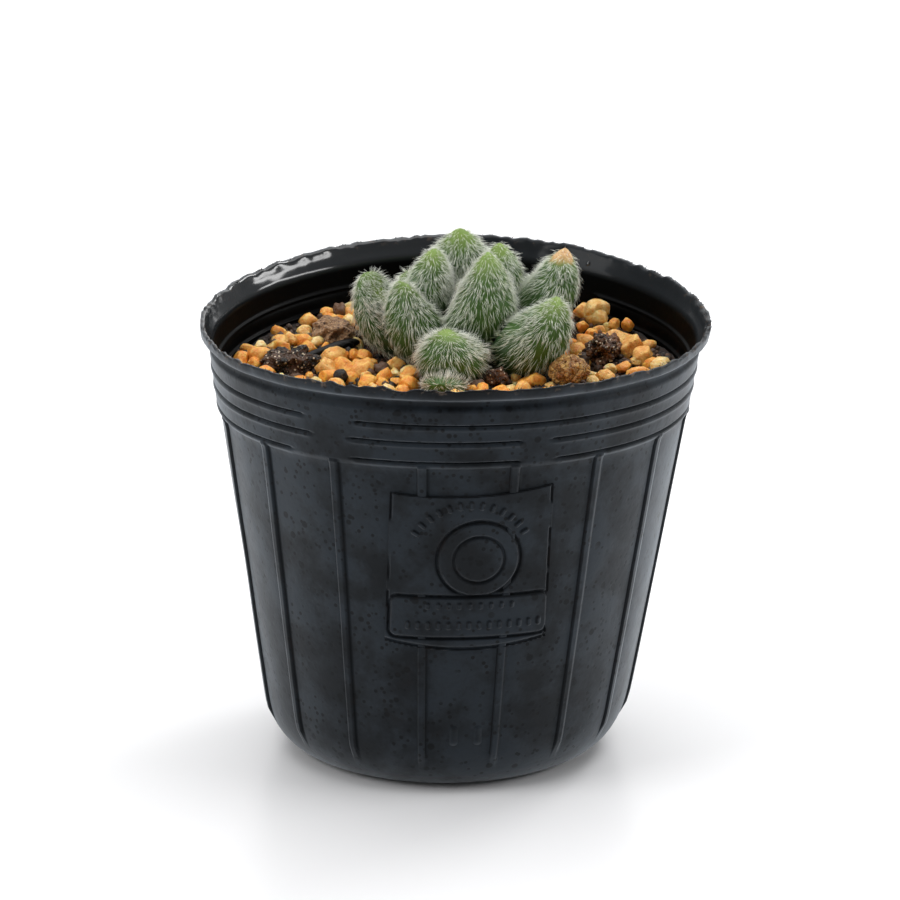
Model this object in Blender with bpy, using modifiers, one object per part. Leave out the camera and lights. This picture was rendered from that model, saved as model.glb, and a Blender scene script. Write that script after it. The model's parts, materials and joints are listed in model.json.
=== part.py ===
"""A small succulent with furry leaves in a soft black nursery pot.

The pot is turned from one profile and carries a ring band, standing ribs and a raised label panel. Soil fills
it to below the rim, gravel and lumps of bark lie on the soil, and plump leaves stand around a short stem.
Z is up, the label faces -Y, and the origin is on the ground under the middle of the rim.
"""

import math
import random

import bmesh
import bpy
import numpy as np
from mathutils import Matrix, Vector, noise
from mathutils.bvhtree import BVHTree

MM = 0.001
GAP = 0.3 * MM
TURN_STEPS = 48

# The pot: a soft plastic shell, 60 mm across its cut rim
RIM_RADIUS = 30.0 * MM
POT_HEIGHT = 52.4 * MM
WALL = 0.6 * MM
WALL_LINE_RADIUS = 20.78 * MM
WALL_FLARE = 0.1554
CORNER_HEIGHT = 7.6 * MM
CORNER_STEPS = 4
FOOT_RADIUS = 15.2 * MM
FOOT_WIDTH = 3.0 * MM
BASE_RAISE = 1.0 * MM
MIDDLE_HOLE_RADIUS = 2.8 * MM
SIDE_HOLE_RADIUS = 1.6 * MM
SIDE_HOLE_CIRCLE = 9.0 * MM
SIDE_HOLES = 4

# The lip and the ring band under it
LIP_FOOT = (29.4 * MM, 50.25 * MM)
BAND_TOP = 49.7 * MM
BAND_PROUD = 0.35 * MM
GROOVE_HEIGHTS = (47.65 * MM, 45.5 * MM, 43.0 * MM)
GROOVE_HALF_WIDTH = 0.45 * MM

# Ribs and label, raised from the wall
RIBS = 16
RIB_PHASE = math.radians(-7.5)
RIB_WIDTH = 1.0 * MM
RIB_FOOT = 4.6 * MM
RIB_TOP = 43.2 * MM
RELIEF_ROOT = 0.35 * MM
RIB_PROUD = 0.3 * MM
LABEL_TURN = math.radians(4.9)
PANEL_WIDTH = 19.4 * MM
PANEL_LOW, PANEL_HIGH = 19.2 * MM, 39.4 * MM
PANEL_PROUD = 0.4 * MM
BAR_WIDTH = 18.6 * MM
BAR_LOW, BAR_HIGH = 20.7 * MM, 26.1 * MM
DIAL_OFFSET = 1.0 * MM
DIAL_HEIGHT = 30.8 * MM
DIAL_RADIUS = 4.8 * MM
DIAL_WIRE = 0.45 * MM
LABEL_PROUD = 0.7 * MM

# How the soft pot has settled out of round
BACK_RISE = 1.5 * MM
BACK_SPREAD = 1.5
SIDE_DIP = 1.1 * MM
LEAN = 1.3 * MM
SETTLE_FROM, SETTLE_FULL = 8.0 * MM, 42.0 * MM
SETTLE_RADIUS = 30.0 * MM

# The soil
SOIL_INSET = 1.0 * MM
SOIL_FLOOR = 1.95 * MM
SOIL_TOP = 44.5 * MM
SOIL_FALL = 0.9 * MM
SOIL_RISE = 1.2 * MM
SOIL_RISE_FROM, SOIL_RISE_FULL = 18.0 * MM, 26.0 * MM
SOIL_LUMP = 0.35 * MM
SOIL_LUMP_SIZE = 2.4 * MM
SOIL_RINGS = 11
REST_LIFT = 1.3 * SOIL_LUMP + GAP

# The plant
STEM_PLACE = (1.0 * MM, 6.0 * MM)
STEM_RADIUS = 1.7 * MM
STEM_FOOT, STEM_TOP = 41.0 * MM, 49.5 * MM
LEAF_FLOOR = 45.5 * MM
LEAF_SIDES, LEAF_RINGS = 12, 10
LEAF_WIDEST = 0.42
LEAF_MIDDLE = 0.45
LEAF_CORE = 0.8 * MM
LEAF_FIRMNESS = {"leaf_front": 4.0, "leaf_right_front": 2.0, "leaf_middle": 2.0, "leaf_front_low": 0.4}
PRESS_POWER = 14
SEARCH_DIRECTIONS = 600

# The top dressing
LUMP_DETAIL = 1.3
LUMP_FORM, LUMP_ROUGHNESS, LUMP_REST = 0.9, 0.22, 0.84
PATCH_GRAINS = 17
PATCH_RADIUS, PATCH_START = 8.5 * MM, 2.5 * MM
PATCH_TRIES = 9000
NEIGHBOUR_DEPTH = 4.0 * MM
GRAIN_SMALL, GRAIN_LARGE = 1.0 * MM, 1.7 * MM
GRAIN_CLOSEST, GRAIN_TOUCH = 0.62, 0.74
GRAIN_FLATNESS = 0.8
GRAIN_STRETCH = (0.92, 1.08)
GRAIN_REACH = 1.1
DRESSING_RADIUS = 26.2 * MM

# Each leaf: where it leaves the stem, the point that its middle bends towards, its tip, its width and thickness
LEAVES = {
    "leaf_front": ((0.4, 1.8, 47.0), (-0.6, -4.6, 46.6), (-1.0, -3.2, 51.8), 8.3, 7.9),
    "leaf_front_low": ((-0.6, -2.4, 45.9), (-1.5, -6.8, 45.2), (-1.8, -9.4, 46.9), 5.2, 2.8),
    "leaf_left_front": ((-0.8, 5.6, 47.0), (-5.9, 5.0, 47.4), (-5.4, 5.6, 56.4), 8.8, 7.4),
    "leaf_left": ((-0.9, 6.6, 47.0), (-11.4, 8.6, 47.4), (-9.3, 9.6, 56.4), 7.0, 6.6),
    "leaf_middle_left": ((-0.4, 7.4, 48.2), (-3.2, 8.7, 50.5), (-2.5, 8.2, 58.3), 7.8, 7.0),
    "leaf_middle": ((1.6, 4.6, 47.6), (3.2, 1.6, 49.0), (3.8, 4.3, 59.0), 8.5, 7.4),
    "leaf_middle_right": ((2.4, 7.6, 48.2), (5.7, 10.6, 51.0), (5.2, 9.9, 58.5), 7.0, 6.6),
    "leaf_right": ((3.4, 6.6, 47.2), (11.8, 8.0, 50.0), (13.0, 8.2, 58.4), 7.2, 6.8),
    "leaf_right_front": ((4.2, 3.6, 47.0), (9.9, -1.6, 47.2), (11.9, 0.6, 54.6), 8.4, 7.6),
    "leaf_back": ((1.0, 8.2, 48.0), (0.0, 13.4, 51.0), (0.6, 12.2, 59.7), 9.4, 7.4),
    "leaf_back_right": ((2.4, 7.4, 46.8), (10.6, 15.0, 46.6), (10.0, 14.0, 54.2), 8.0, 7.0),
    "leaf_back_left": ((-0.2, 7.6, 46.8), (-5.6, 15.0, 46.6), (-4.6, 13.8, 54.8), 8.0, 7.0),
    "leaf_back_low": ((1.4, 8.2, 46.6), (4.0, 19.6, 46.2), (3.6, 17.8, 52.8), 8.0, 6.6),
    "leaf_left_low": ((-0.8, 7.4, 46.4), (-9.8, 15.2, 45.8), (-8.8, 14.2, 52.0), 7.2, 6.0),
    "leaf_right_low": ((2.8, 7.0, 46.6), (12.0, 12.6, 45.8), (11.0, 12.4, 50.6), 6.4, 5.6),
    "leaf_bud": ((1.2, 7.4, 49.8), (1.0, 8.6, 51.4), (1.0, 8.4, 54.2), 4.4, 4.4),
}

# Each lump of bark or soil: place across and into the pot, half sizes, turn and tint
LUMPS = {
    "bark_left": ((-18.9, 3.4), (2.9, 2.0, 1.7), 10, "bark"),
    "bark_strip": ((-14.5, 8.2), (4.7, 0.9, 0.9), 46, "bark"),
    "soil_lump_left": ((-14.1, 14.8), (2.2, 3.4, 1.5), 6, "soil"),
    "bark_right": ((17.4, 7.4), (1.9, 3.3, 1.7), -8, "bark"),
    "porous_stone": ((13.9, -3.6), (2.1, 1.8, 1.8), 0, "porous"),
    "bark_front": ((5.2, -5.0), (1.3, 1.2, 1.1), 0, "bark"),
}

# The middle of each patch of gravel, across and into the pot
PATCHES = {
    "gravel_left": (-21.0, 9.5),
    "gravel_left_front": (-10.0, -3.5),
    "gravel_front": (3.0, -15.0),
    "gravel_right_front": (15.0, -8.5),
    "gravel_right": (22.0, 10.0),
    "gravel_back": (11.0, 22.0),
    "gravel_back_left": (-8.5, 21.5),
}

COLOURS = {
    "pot": ((0.012, 0.015, 0.019), 0.42),
    "soil": ((0.045, 0.022, 0.012), 0.9),
    "bark": ((0.018, 0.010, 0.007), 0.55),
    "porous": ((0.22, 0.075, 0.028), 0.85),
    "gravel": ((0.75, 0.34, 0.07), 0.7),
    "stem": ((0.16, 0.22, 0.06), 0.7),
    "leaf": ((0.13, 0.26, 0.06), 0.6),
}


def material(name):
    """The Principled material of a tint, made once."""
    known = bpy.data.materials.get(name)
    if known:
        return known
    colour, roughness = COLOURS[name]
    made = bpy.data.materials.new(name)
    made.use_nodes = True
    shader = made.node_tree.nodes["Principled BSDF"]
    shader.inputs["Base Color"].default_value = (*colour, 1.0)
    shader.inputs["Roughness"].default_value = roughness
    shader.inputs["Metallic"].default_value = 0.0
    made.diffuse_color = (*colour, 1.0)
    return made


def add(name, mesh, tint, group):
    """Puts a mesh in the scene as an object with its own material slot."""
    mesh.materials.clear()
    mesh.materials.append(material(tint))
    ob = bpy.data.objects.new(name, mesh)
    group.objects.link(ob)
    return ob


def new_group(name):
    """A collection under the scene's own."""
    group = bpy.data.collections.new(name)
    bpy.context.scene.collection.children.link(group)
    return group


def mesh_from(shape, name):
    """Turns a bmesh into a mesh and frees it."""
    mesh = bpy.data.meshes.new(name)
    shape.to_mesh(mesh)
    shape.free()
    return mesh


def bake(ob):
    """Replaces an object's mesh by the mesh that its modifiers make."""
    bpy.context.view_layer.update()
    seen = ob.evaluated_get(bpy.context.evaluated_depsgraph_get())
    made = bpy.data.meshes.new_from_object(seen)
    ob.modifiers.clear()
    old, ob.data = ob.data, made
    bpy.data.meshes.remove(old)


def points_of(mesh):
    """The mesh's points, one row each."""
    flat = np.empty(len(mesh.vertices) * 3, dtype=np.float32)
    mesh.vertices.foreach_get("co", flat)
    return flat.reshape(-1, 3).astype(float)


def move_points(mesh, rule):
    """Moves every point of a mesh by a rule that takes and gives rows of x, y, z."""
    mesh.vertices.foreach_set("co", np.asarray(rule(points_of(mesh)), dtype=np.float32).ravel())
    mesh.update()


def combine(ob, helpers, operation, solver="EXACT"):
    """Joins a collection of helper objects to an object, or cuts them from it, and removes the helpers."""
    step = ob.modifiers.new(operation.title(), "BOOLEAN")
    step.operand_type = "COLLECTION"
    step.collection = helpers
    step.operation = operation
    step.solver = solver
    bake(ob)
    for helper in list(helpers.objects):
        bpy.data.objects.remove(helper, do_unlink=True)
    bpy.data.collections.remove(helpers)


def round_off(ob, angle=35):
    """Shades a round piece smooth and keeps its real edges sharp."""
    ob.data.shade_smooth()
    ob.data.set_sharp_from_angle(angle=math.radians(angle))


def wall_radius(height):
    """The outer radius of the straight wall at a height."""
    return WALL_LINE_RADIUS + WALL_FLARE * height


def settle(points):
    """The soft pot's own shape: the back of the rim stands higher, the sides dip, and the foot lies left of it."""
    x, y, z = np.asarray(points, dtype=float).T
    share = np.clip((z - SETTLE_FROM) / (SETTLE_FULL - SETTLE_FROM), 0, 1)
    back = np.clip((1 + y / SETTLE_RADIUS) / 2, 0, 1) ** BACK_SPREAD
    raised = z + share * (BACK_RISE * back - SIDE_DIP * (x / SETTLE_RADIUS) ** 2)
    return np.stack([x - LEAN * (1 - z / POT_HEIGHT), y, raised], axis=1)


def corner_profile():
    """The base corner: one quadratic curve from the wall in to the foot, down to the ground."""
    start = (wall_radius(CORNER_HEIGHT), CORNER_HEIGHT)
    bend = (wall_radius(0), 0.0)
    end = (FOOT_RADIUS, 0.0)
    points = []
    for step in range(CORNER_STEPS + 1):
        t = step / CORNER_STEPS
        weights = ((1 - t) ** 2, 2 * t * (1 - t), t * t)
        points.append(tuple(sum(w * p[axis] for w, p in zip(weights, (start, bend, end))) for axis in (0, 1)))
    return points


def pot_profile():
    """The pot's outer skin as radius and height, from the cut rim down the outside to the middle hole."""
    profile = [(RIM_RADIUS, POT_HEIGHT), LIP_FOOT, (wall_radius(BAND_TOP) + BAND_PROUD, BAND_TOP)]
    for height in GROOVE_HEIGHTS:
        above, below = height + GROOVE_HALF_WIDTH, height - GROOVE_HALF_WIDTH
        last = height == GROOVE_HEIGHTS[-1]
        profile.append((wall_radius(above) + BAND_PROUD, above))
        profile.append((wall_radius(height) - 0.1 * BAND_PROUD, height))
        profile.append((wall_radius(below) + (0.0 if last else BAND_PROUD), below))
    profile += corner_profile()
    profile.append((FOOT_RADIUS - FOOT_WIDTH, 0.0))
    profile.append((FOOT_RADIUS - FOOT_WIDTH - BASE_RAISE, BASE_RAISE))
    profile.append((MIDDLE_HOLE_RADIUS, BASE_RAISE))
    return profile


def turned(name, profile, tint, group):
    """An object turned about Z from a profile of radius and height that runs down its outer side."""
    mesh = bpy.data.meshes.new(name)
    points = [(radius, 0.0, height) for radius, height in profile]
    mesh.from_pydata(points, [(i, i + 1) for i in range(len(points) - 1)], [])
    ob = add(name, mesh, tint, group)
    turn = ob.modifiers.new("Screw", "SCREW")
    turn.axis = "Z"
    turn.angle = math.tau
    turn.steps = TURN_STEPS
    turn.render_steps = TURN_STEPS
    turn.use_merge_vertices = True
    turn.merge_threshold = 0.00001
    return ob


def on_wall(points, azimuth):
    """Bends flat points round the pot's wall: x runs round it, y out of it and z up it."""
    x, y, z = points.T
    angle = azimuth + x / wall_radius(z)
    radius = wall_radius(z) + y
    return np.stack([radius * np.sin(angle), -radius * np.cos(angle), z], axis=1)


def wall_plate(name, width, low, high, proud, azimuth, columns, group):
    """A plate that follows the wall, sunk into it by RELIEF_ROOT and standing proud of it."""
    shape = bmesh.new()
    bmesh.ops.create_cube(shape, size=1.0)
    upright = [edge for edge in shape.edges if abs(edge.verts[0].co.x - edge.verts[1].co.x) > 0.5]
    if columns > 1:
        bmesh.ops.subdivide_edges(shape, edges=upright, cuts=columns - 1, use_grid_fill=True)
    mesh = mesh_from(shape, name)
    size = np.array([width, proud + RELIEF_ROOT, high - low])
    middle = np.array([0.0, (proud - RELIEF_ROOT) / 2, (high + low) / 2])
    move_points(mesh, lambda points: on_wall(points * size + middle, azimuth))
    return add(name, mesh, "pot", group)


def make_dial(group):
    """A plain ring on the label panel."""
    bpy.ops.mesh.primitive_torus_add(
        major_segments=28, minor_segments=6, major_radius=DIAL_RADIUS, minor_radius=DIAL_WIRE
    )
    ring = bpy.context.object
    for owner in list(ring.users_collection):
        owner.objects.unlink(ring)
    group.objects.link(ring)
    ring.name = "dial"

    def placed(points):
        flat = points[:, [0, 2, 1]]
        return on_wall(flat + np.array([DIAL_OFFSET, PANEL_PROUD, DIAL_HEIGHT]), LABEL_TURN)

    move_points(ring.data, placed)
    shape = bmesh.new()
    shape.from_mesh(ring.data)
    bmesh.ops.recalc_face_normals(shape, faces=shape.faces)
    shape.to_mesh(ring.data)
    shape.free()


def make_pot(group):
    """The pot: its turned shell, then ribs and label joined on and the drain holes cut."""
    pot = turned("pot", pot_profile(), "pot", group)
    shell = pot.modifiers.new("Solidify", "SOLIDIFY")
    shell.thickness = WALL
    shell.offset = -1.0
    shell.use_even_offset = True
    bake(pot)

    relief = new_group("relief")
    for number in range(RIBS):
        azimuth = RIB_PHASE + number * math.tau / RIBS
        wall_plate(f"rib_{number}", RIB_WIDTH, RIB_FOOT, RIB_TOP, RIB_PROUD, azimuth, 1, relief)
    wall_plate("panel", PANEL_WIDTH, PANEL_LOW, PANEL_HIGH, PANEL_PROUD, LABEL_TURN, 12, relief)
    wall_plate("bar", BAR_WIDTH, BAR_LOW, BAR_HIGH, LABEL_PROUD, LABEL_TURN, 12, relief)
    make_dial(relief)
    combine(pot, relief, "UNION")

    holes = new_group("cutters")
    for number in range(SIDE_HOLES):
        angle = (number + 0.5) * math.tau / SIDE_HOLES
        shape = bmesh.new()
        place = Matrix.Translation(
            (SIDE_HOLE_CIRCLE * math.cos(angle), SIDE_HOLE_CIRCLE * math.sin(angle), BASE_RAISE)
        )
        bmesh.ops.create_cone(
            shape, cap_ends=True, segments=16, radius1=SIDE_HOLE_RADIUS, radius2=SIDE_HOLE_RADIUS,
            depth=6 * WALL, matrix=place,
        )
        cutter = add(f"drain_{number}", mesh_from(shape, "drain"), "pot", holes)
        cutter.hide_render = True
        cutter.display_type = "WIRE"
    combine(pot, holes, "DIFFERENCE")
    move_points(pot.data, settle)
    round_off(pot)
    return pot


def soil_height(x, y):
    """The height of the soil's top at a place, before the pot settles.

    It is a low mound with small lumps that rises again at the wall, at the sides the most.
    """
    radius = math.hypot(x, y)
    spot = Vector((x / SOIL_LUMP_SIZE, y / SOIL_LUMP_SIZE, 0.0))
    share = min(max((radius - SOIL_RISE_FROM) / (SOIL_RISE_FULL - SOIL_RISE_FROM), 0.0), 1.0)
    rise = share * share * (3 - 2 * share) * (SOIL_RISE + SIDE_DIP * (x / SETTLE_RADIUS) ** 2)
    return SOIL_TOP + rise - SOIL_FALL * (radius / DRESSING_RADIUS) ** 2 + SOIL_LUMP * noise.noise(spot)


def make_soil(group):
    """The root ball: it fills the pot, with a lumpy top and a plain hole for the stem."""
    edge = wall_radius(SOIL_TOP) - SOIL_INSET
    profile = [(edge * ring / SOIL_RINGS, SOIL_TOP) for ring in range(SOIL_RINGS + 1)]
    corner = corner_profile()
    profile.append((corner[0][0] - SOIL_INSET, corner[0][1]))
    profile.append((corner[1][0] - 1.1 * SOIL_INSET, corner[1][1]))
    profile.append((corner[2][0] - 1.6 * SOIL_INSET, SOIL_FLOOR))
    profile.append((0.0, SOIL_FLOOR))
    soil = turned("soil", profile, "soil", group)
    bake(soil)

    def lumpy(points):
        top = points[:, 2] > SOIL_TOP - 0.01 * MM
        points[top, 2] = [soil_height(x, y) for x, y in points[top, :2]]
        return settle(points)

    move_points(soil.data, lumpy)
    holes = new_group("cutters")
    shape = bmesh.new()
    floor = STEM_FOOT - GAP
    bmesh.ops.create_cone(
        shape, cap_ends=True, segments=20, radius1=STEM_RADIUS + GAP, radius2=STEM_RADIUS + GAP,
        depth=2 * (SOIL_TOP - floor), matrix=Matrix.Translation((*STEM_PLACE, SOIL_TOP)),
    )
    cutter = add("stem_hole", mesh_from(shape, "stem_hole"), "soil", holes)
    cutter.hide_render = True
    cutter.display_type = "WIRE"
    combine(soil, holes, "DIFFERENCE")
    round_off(soil, 60)
    return soil


def make_stem(group):
    """The short stem that the leaves stand around."""
    shape = bmesh.new()
    middle = (*STEM_PLACE, (STEM_FOOT + STEM_TOP) / 2)
    bmesh.ops.create_cone(
        shape, cap_ends=True, segments=20, radius1=STEM_RADIUS, radius2=0.85 * STEM_RADIUS,
        depth=STEM_TOP - STEM_FOOT, matrix=Matrix.Translation(middle),
    )
    stem = add("stem", mesh_from(shape, "stem"), "stem", group)
    round_off(stem)
    return stem


def leaf_outline(t):
    """A leaf's half width along its axis, as a share of its widest: round at the stem, pointed at the tip."""
    towards_tip = np.clip((t - LEAF_WIDEST) / (1 - LEAF_WIDEST), 0, 1)
    towards_stem = np.clip((LEAF_WIDEST - t) / LEAF_WIDEST, 0, 1)
    tip_side = (1 - towards_tip ** 2.1) ** 0.72
    stem_side = np.sqrt(1 - towards_stem ** 2.6)
    return np.where(t > LEAF_WIDEST, tip_side, stem_side)


def leaf_axis(ends, t):
    """The points of a leaf's bent axis: a quadratic curve from the stem, by its bend, to its tip."""
    t = np.atleast_1d(t)[:, None]
    base, bend, tip = (np.array(end) * MM for end in ends)
    return (1 - t) ** 2 * base + 2 * t * (1 - t) * bend + t * t * tip


def plump_leaf(points, base, bend, tip, width, thickness):
    """Draws a unit ball out along a leaf's axis. Its width lies level and its thickness across the bend."""
    t = (points[:, 2] + 1) / 2
    across = np.hypot(points[:, 0], points[:, 1])
    share = points[:, :2] / np.maximum(across, 1e-6)[:, None]
    share[across < 1e-4] = 0
    axis = leaf_axis((base, bend, tip), t)
    step = 1e-3
    along = leaf_axis((base, bend, tip), t + step) - leaf_axis((base, bend, tip), t - step)
    along /= np.linalg.norm(along, axis=1)[:, None]
    out = (np.array(base) + 2 * np.array(bend) + np.array(tip))[:2] / 4 * MM - np.array(STEM_PLACE)
    level = np.array([-out[1], out[0], 0.0]) / np.linalg.norm(out)
    across_bend = np.cross(along, level)
    across_bend /= np.linalg.norm(across_bend, axis=1)[:, None]
    reach = leaf_outline(t)[:, None] * MM / 2
    return axis + reach * (width * share[:, :1] * level + thickness * share[:, 1:] * across_bend)


def spread_directions(count):
    """Unit vectors spread evenly over a ball, on a golden-angle spiral."""
    number = np.arange(count) + 0.5
    height = 1 - 2 * number / count
    angle = math.pi * (1 + math.sqrt(5)) * number
    flat = np.sqrt(1 - height ** 2)
    return np.stack([flat * np.cos(angle), flat * np.sin(angle), height], axis=1)


def shared_plane(points, other, middle, other_middle, firmness, directions):
    """The plane that parts two leaves with the least loss, or None where they already stand clear.

    The firmness is the first leaf's share: at 1 it keeps its whole form and the other leaf gives way.
    """
    far = (points @ directions.T).max(axis=0)
    near = (other @ directions.T).min(axis=0)
    between = (other_middle - middle) @ directions.T
    parts = np.where(between > 2 * LEAF_CORE, near - far, -np.inf)
    best = np.argmax(parts)
    if parts[best] > GAP:
        return None
    normal = directions[best]
    level = near[best] + (far[best] - near[best]) * firmness
    level = min(max(level, middle @ normal + LEAF_CORE), other_middle @ normal - LEAF_CORE)
    return normal, level


def press(points, middle, planes):
    """Draws points in towards a leaf's middle until all lie behind the planes that its neighbours set.

    Each point moves along its line from the middle, to the soft least of the share that it has and the shares
    at which the line meets each plane, so a pressed side is nearly flat and its edge is rounded.
    """
    arms = points - middle
    total = np.ones(len(points))
    for normal, level in planes:
        room = level - GAP / 2 - middle @ normal
        reach = arms @ normal
        total += (np.maximum(reach, 0) / room) ** PRESS_POWER
    return middle + arms * (total ** (-1 / PRESS_POWER))[:, None]


def make_leaves(group):
    """All leaves, each plump by itself and then pressed flat against its neighbours, the stem and the soil."""
    meshes, middles = {}, {}
    for name, (base, bend, tip, width, thickness) in LEAVES.items():
        shape = bmesh.new()
        bmesh.ops.create_uvsphere(shape, u_segments=LEAF_SIDES, v_segments=LEAF_RINGS, radius=1.0)
        meshes[name] = mesh_from(shape, name)
        move_points(meshes[name], lambda points: plump_leaf(points, base, bend, tip, width, thickness))
        middles[name] = leaf_axis((base, bend, tip), LEAF_MIDDLE)[0]

    planes = {name: [(np.array([0.0, 0.0, -1.0]), -LEAF_FLOOR + GAP / 2)] for name in LEAVES}
    directions = spread_directions(SEARCH_DIRECTIONS)
    names = list(LEAVES)
    for index, name in enumerate(names):
        to_stem = np.array([*STEM_PLACE, 0.0]) - middles[name] * (1, 1, 0)
        distance = np.linalg.norm(to_stem)
        if distance > STEM_RADIUS + GAP:
            normal = to_stem / distance
            level = middles[name] @ normal + distance - STEM_RADIUS - GAP / 2
            planes[name].append((normal, level))
        for other in names[index + 1:]:
            pair = points_of(meshes[name]), points_of(meshes[other])
            firm = [LEAF_FIRMNESS.get(one, 1.0) for one in (name, other)]
            plane = shared_plane(*pair, middles[name], middles[other], firm[0] / sum(firm), directions)
            if plane:
                normal, level = plane
                planes[name].append((normal, level))
                planes[other].append((-normal, -level))

    leaves = []
    for name in names:
        move_points(meshes[name], lambda points: press(points, middles[name], planes[name]))
        leaf = add(name, meshes[name], "leaf", group)
        round_off(leaf, 60)
        leaves.append(leaf)
    return leaves


def rest_height(x, y, depth):
    """The height at which a piece's middle stands when it lies on the soil, depth above it."""
    return soil_height(x, y) + REST_LIFT + depth


def make_lumps(group):
    """The wet bark and the crumbs of soil and stone that lie on the root ball."""
    lumps = []
    for name, (place, size, turn, tint) in LUMPS.items():
        shape = bmesh.new()
        bmesh.ops.create_icosphere(shape, subdivisions=2, radius=1.0)
        mesh = mesh_from(shape, name)
        half = np.array(size) * MM
        x, y = place[0] * MM, place[1] * MM
        spin = np.array(Matrix.Rotation(math.radians(turn), 3, "Z"))

        def rough(points):
            bumps = [noise.noise(Vector(LUMP_DETAIL * p) + Vector((x, y, 0.0)) / MM) for p in points]
            swollen = points * (LUMP_FORM + LUMP_ROUGHNESS * np.array(bumps))[:, None]
            centre = settle(np.array([[x, y, rest_height(x, y, LUMP_REST * half[2])]]))[0]
            return (swollen * half) @ spin.T + centre

        move_points(mesh, rough)
        lumps.append(add(name, mesh, tint, group))
    return lumps


def near_trees(neighbours):
    """Search trees over the pieces that the gravel keeps clear of."""
    trees = []
    for ob in neighbours:
        corners = [vertex.co.copy() for vertex in ob.data.vertices]
        trees.append(BVHTree.FromPolygons(corners, [list(face.vertices) for face in ob.data.polygons]))
    return trees


def grain_centre(x, y, radius):
    """The middle of a grain that lies on the soil at a place, after the pot has settled."""
    return settle(np.array([[x, y, rest_height(x, y, GRAIN_FLATNESS * radius)]]))[0]


def stands_clear(x, y, radius, trees, laid):
    """Whether a grain misses the wall, the plant, the lumps and the other patches.

    A place is inside a neighbour where it lies behind the nearest face and no deeper than a neighbour can be.
    """
    if math.hypot(x, y) + radius > DRESSING_RADIUS:
        return False
    if any(math.hypot(x - a, y - b) < GRAIN_REACH * (radius + c) + GAP for a, b, c in laid):
        return False
    centre = Vector(grain_centre(x, y, radius))
    for tree in trees:
        spot, normal, _, distance = tree.find_nearest(centre)
        inside = distance < NEIGHBOUR_DEPTH and (centre - spot).dot(normal) < 0
        if inside or distance < GRAIN_REACH * radius + GAP:
            return False
    return True


def patch_places(middle, trees, laid, draw):
    """The grains of one patch, from its middle out: each overlaps one laid before, so the patch holds together."""
    patch = []
    for _ in range(PATCH_TRIES):
        if len(patch) == PATCH_GRAINS:
            break
        angle = draw.uniform(0, math.tau)
        reach = (PATCH_RADIUS if patch else PATCH_START) * math.sqrt(draw.random())
        radius = draw.triangular(GRAIN_SMALL, GRAIN_LARGE, GRAIN_SMALL)
        x = middle[0] * MM + reach * math.cos(angle)
        y = middle[1] * MM + reach * math.sin(angle)
        gaps = [math.hypot(x - a, y - b) / (radius + c) for a, b, c in patch]
        joined = not gaps or GRAIN_CLOSEST < min(gaps) < GRAIN_TOUCH
        if joined and stands_clear(x, y, radius, trees, laid):
            patch.append((x, y, radius))
    return patch


def make_gravel(neighbours, group):
    """The pumice top dressing: patches of angular grains, each patch sunk together in one body on the soil."""
    trees = near_trees(neighbours)
    laid = []
    for name, middle in PATCHES.items():
        draw = random.Random(name)
        patch = patch_places(middle, trees, laid, draw)
        laid += patch
        grains = new_group("grains")
        for number, (x, y, radius) in enumerate(patch):
            shape = bmesh.new()
            bmesh.ops.create_icosphere(shape, subdivisions=1, radius=1.0)
            mesh = mesh_from(shape, f"grain_{number}")
            axis = (draw.random(), draw.random(), 1.0)
            turn = np.array(Matrix.Rotation(draw.uniform(0, math.tau), 3, axis))
            stretch = (draw.uniform(*GRAIN_STRETCH), draw.uniform(*GRAIN_STRETCH), GRAIN_FLATNESS)
            centre = grain_centre(x, y, radius)
            move_points(mesh, lambda points: (points @ turn.T) * stretch * radius + centre)
            if number == 0:
                first = add(name, mesh, "gravel", group)
            else:
                add(f"grain_{number}", mesh, "gravel", grains)
        combine(first, grains, "UNION", "MANIFOLD")


def main():
    """Builds every piece of the potted plant."""
    for old in list(bpy.data.objects):
        bpy.data.objects.remove(old, do_unlink=True)
    group = new_group("potted_sedum")
    make_pot(group)
    make_soil(group)
    stem = make_stem(group)
    leaves = make_leaves(group)
    lumps = make_lumps(group)
    make_gravel([stem] + leaves + lumps, group)


main()
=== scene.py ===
"""The looks of a small succulent with furry leaves, in a soft black nursery pot.

Shapes are worked out in millimetres with numpy, as functions of two parameters on a grid, and follow the same
named values and formulas as the part's source. Each leaf carries its own coat of mesh hairs. Z is up and the
label faces -Y.
"""

import json
import math
from itertools import product

import bmesh
import bpy
import numpy as np
from mathutils import Matrix, Vector

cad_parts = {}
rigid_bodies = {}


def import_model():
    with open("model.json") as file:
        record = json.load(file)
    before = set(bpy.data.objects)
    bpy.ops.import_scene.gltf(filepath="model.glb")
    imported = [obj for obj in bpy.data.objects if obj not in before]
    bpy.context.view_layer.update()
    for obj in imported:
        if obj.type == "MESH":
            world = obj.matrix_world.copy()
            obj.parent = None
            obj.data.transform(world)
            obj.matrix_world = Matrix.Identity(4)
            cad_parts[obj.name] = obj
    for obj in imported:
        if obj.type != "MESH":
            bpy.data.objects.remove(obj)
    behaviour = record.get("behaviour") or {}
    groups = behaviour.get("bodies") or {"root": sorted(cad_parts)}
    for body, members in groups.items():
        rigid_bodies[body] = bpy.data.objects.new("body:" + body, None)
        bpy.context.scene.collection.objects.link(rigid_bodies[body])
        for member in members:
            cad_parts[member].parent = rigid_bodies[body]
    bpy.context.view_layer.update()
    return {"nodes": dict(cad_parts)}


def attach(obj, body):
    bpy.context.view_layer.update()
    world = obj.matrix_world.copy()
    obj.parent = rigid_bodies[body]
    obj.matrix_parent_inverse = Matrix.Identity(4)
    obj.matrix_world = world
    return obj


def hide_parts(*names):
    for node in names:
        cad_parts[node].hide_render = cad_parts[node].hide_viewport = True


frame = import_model()

# Shapes are in millimetres, and Blender's metres come last
MM = 0.001

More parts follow.
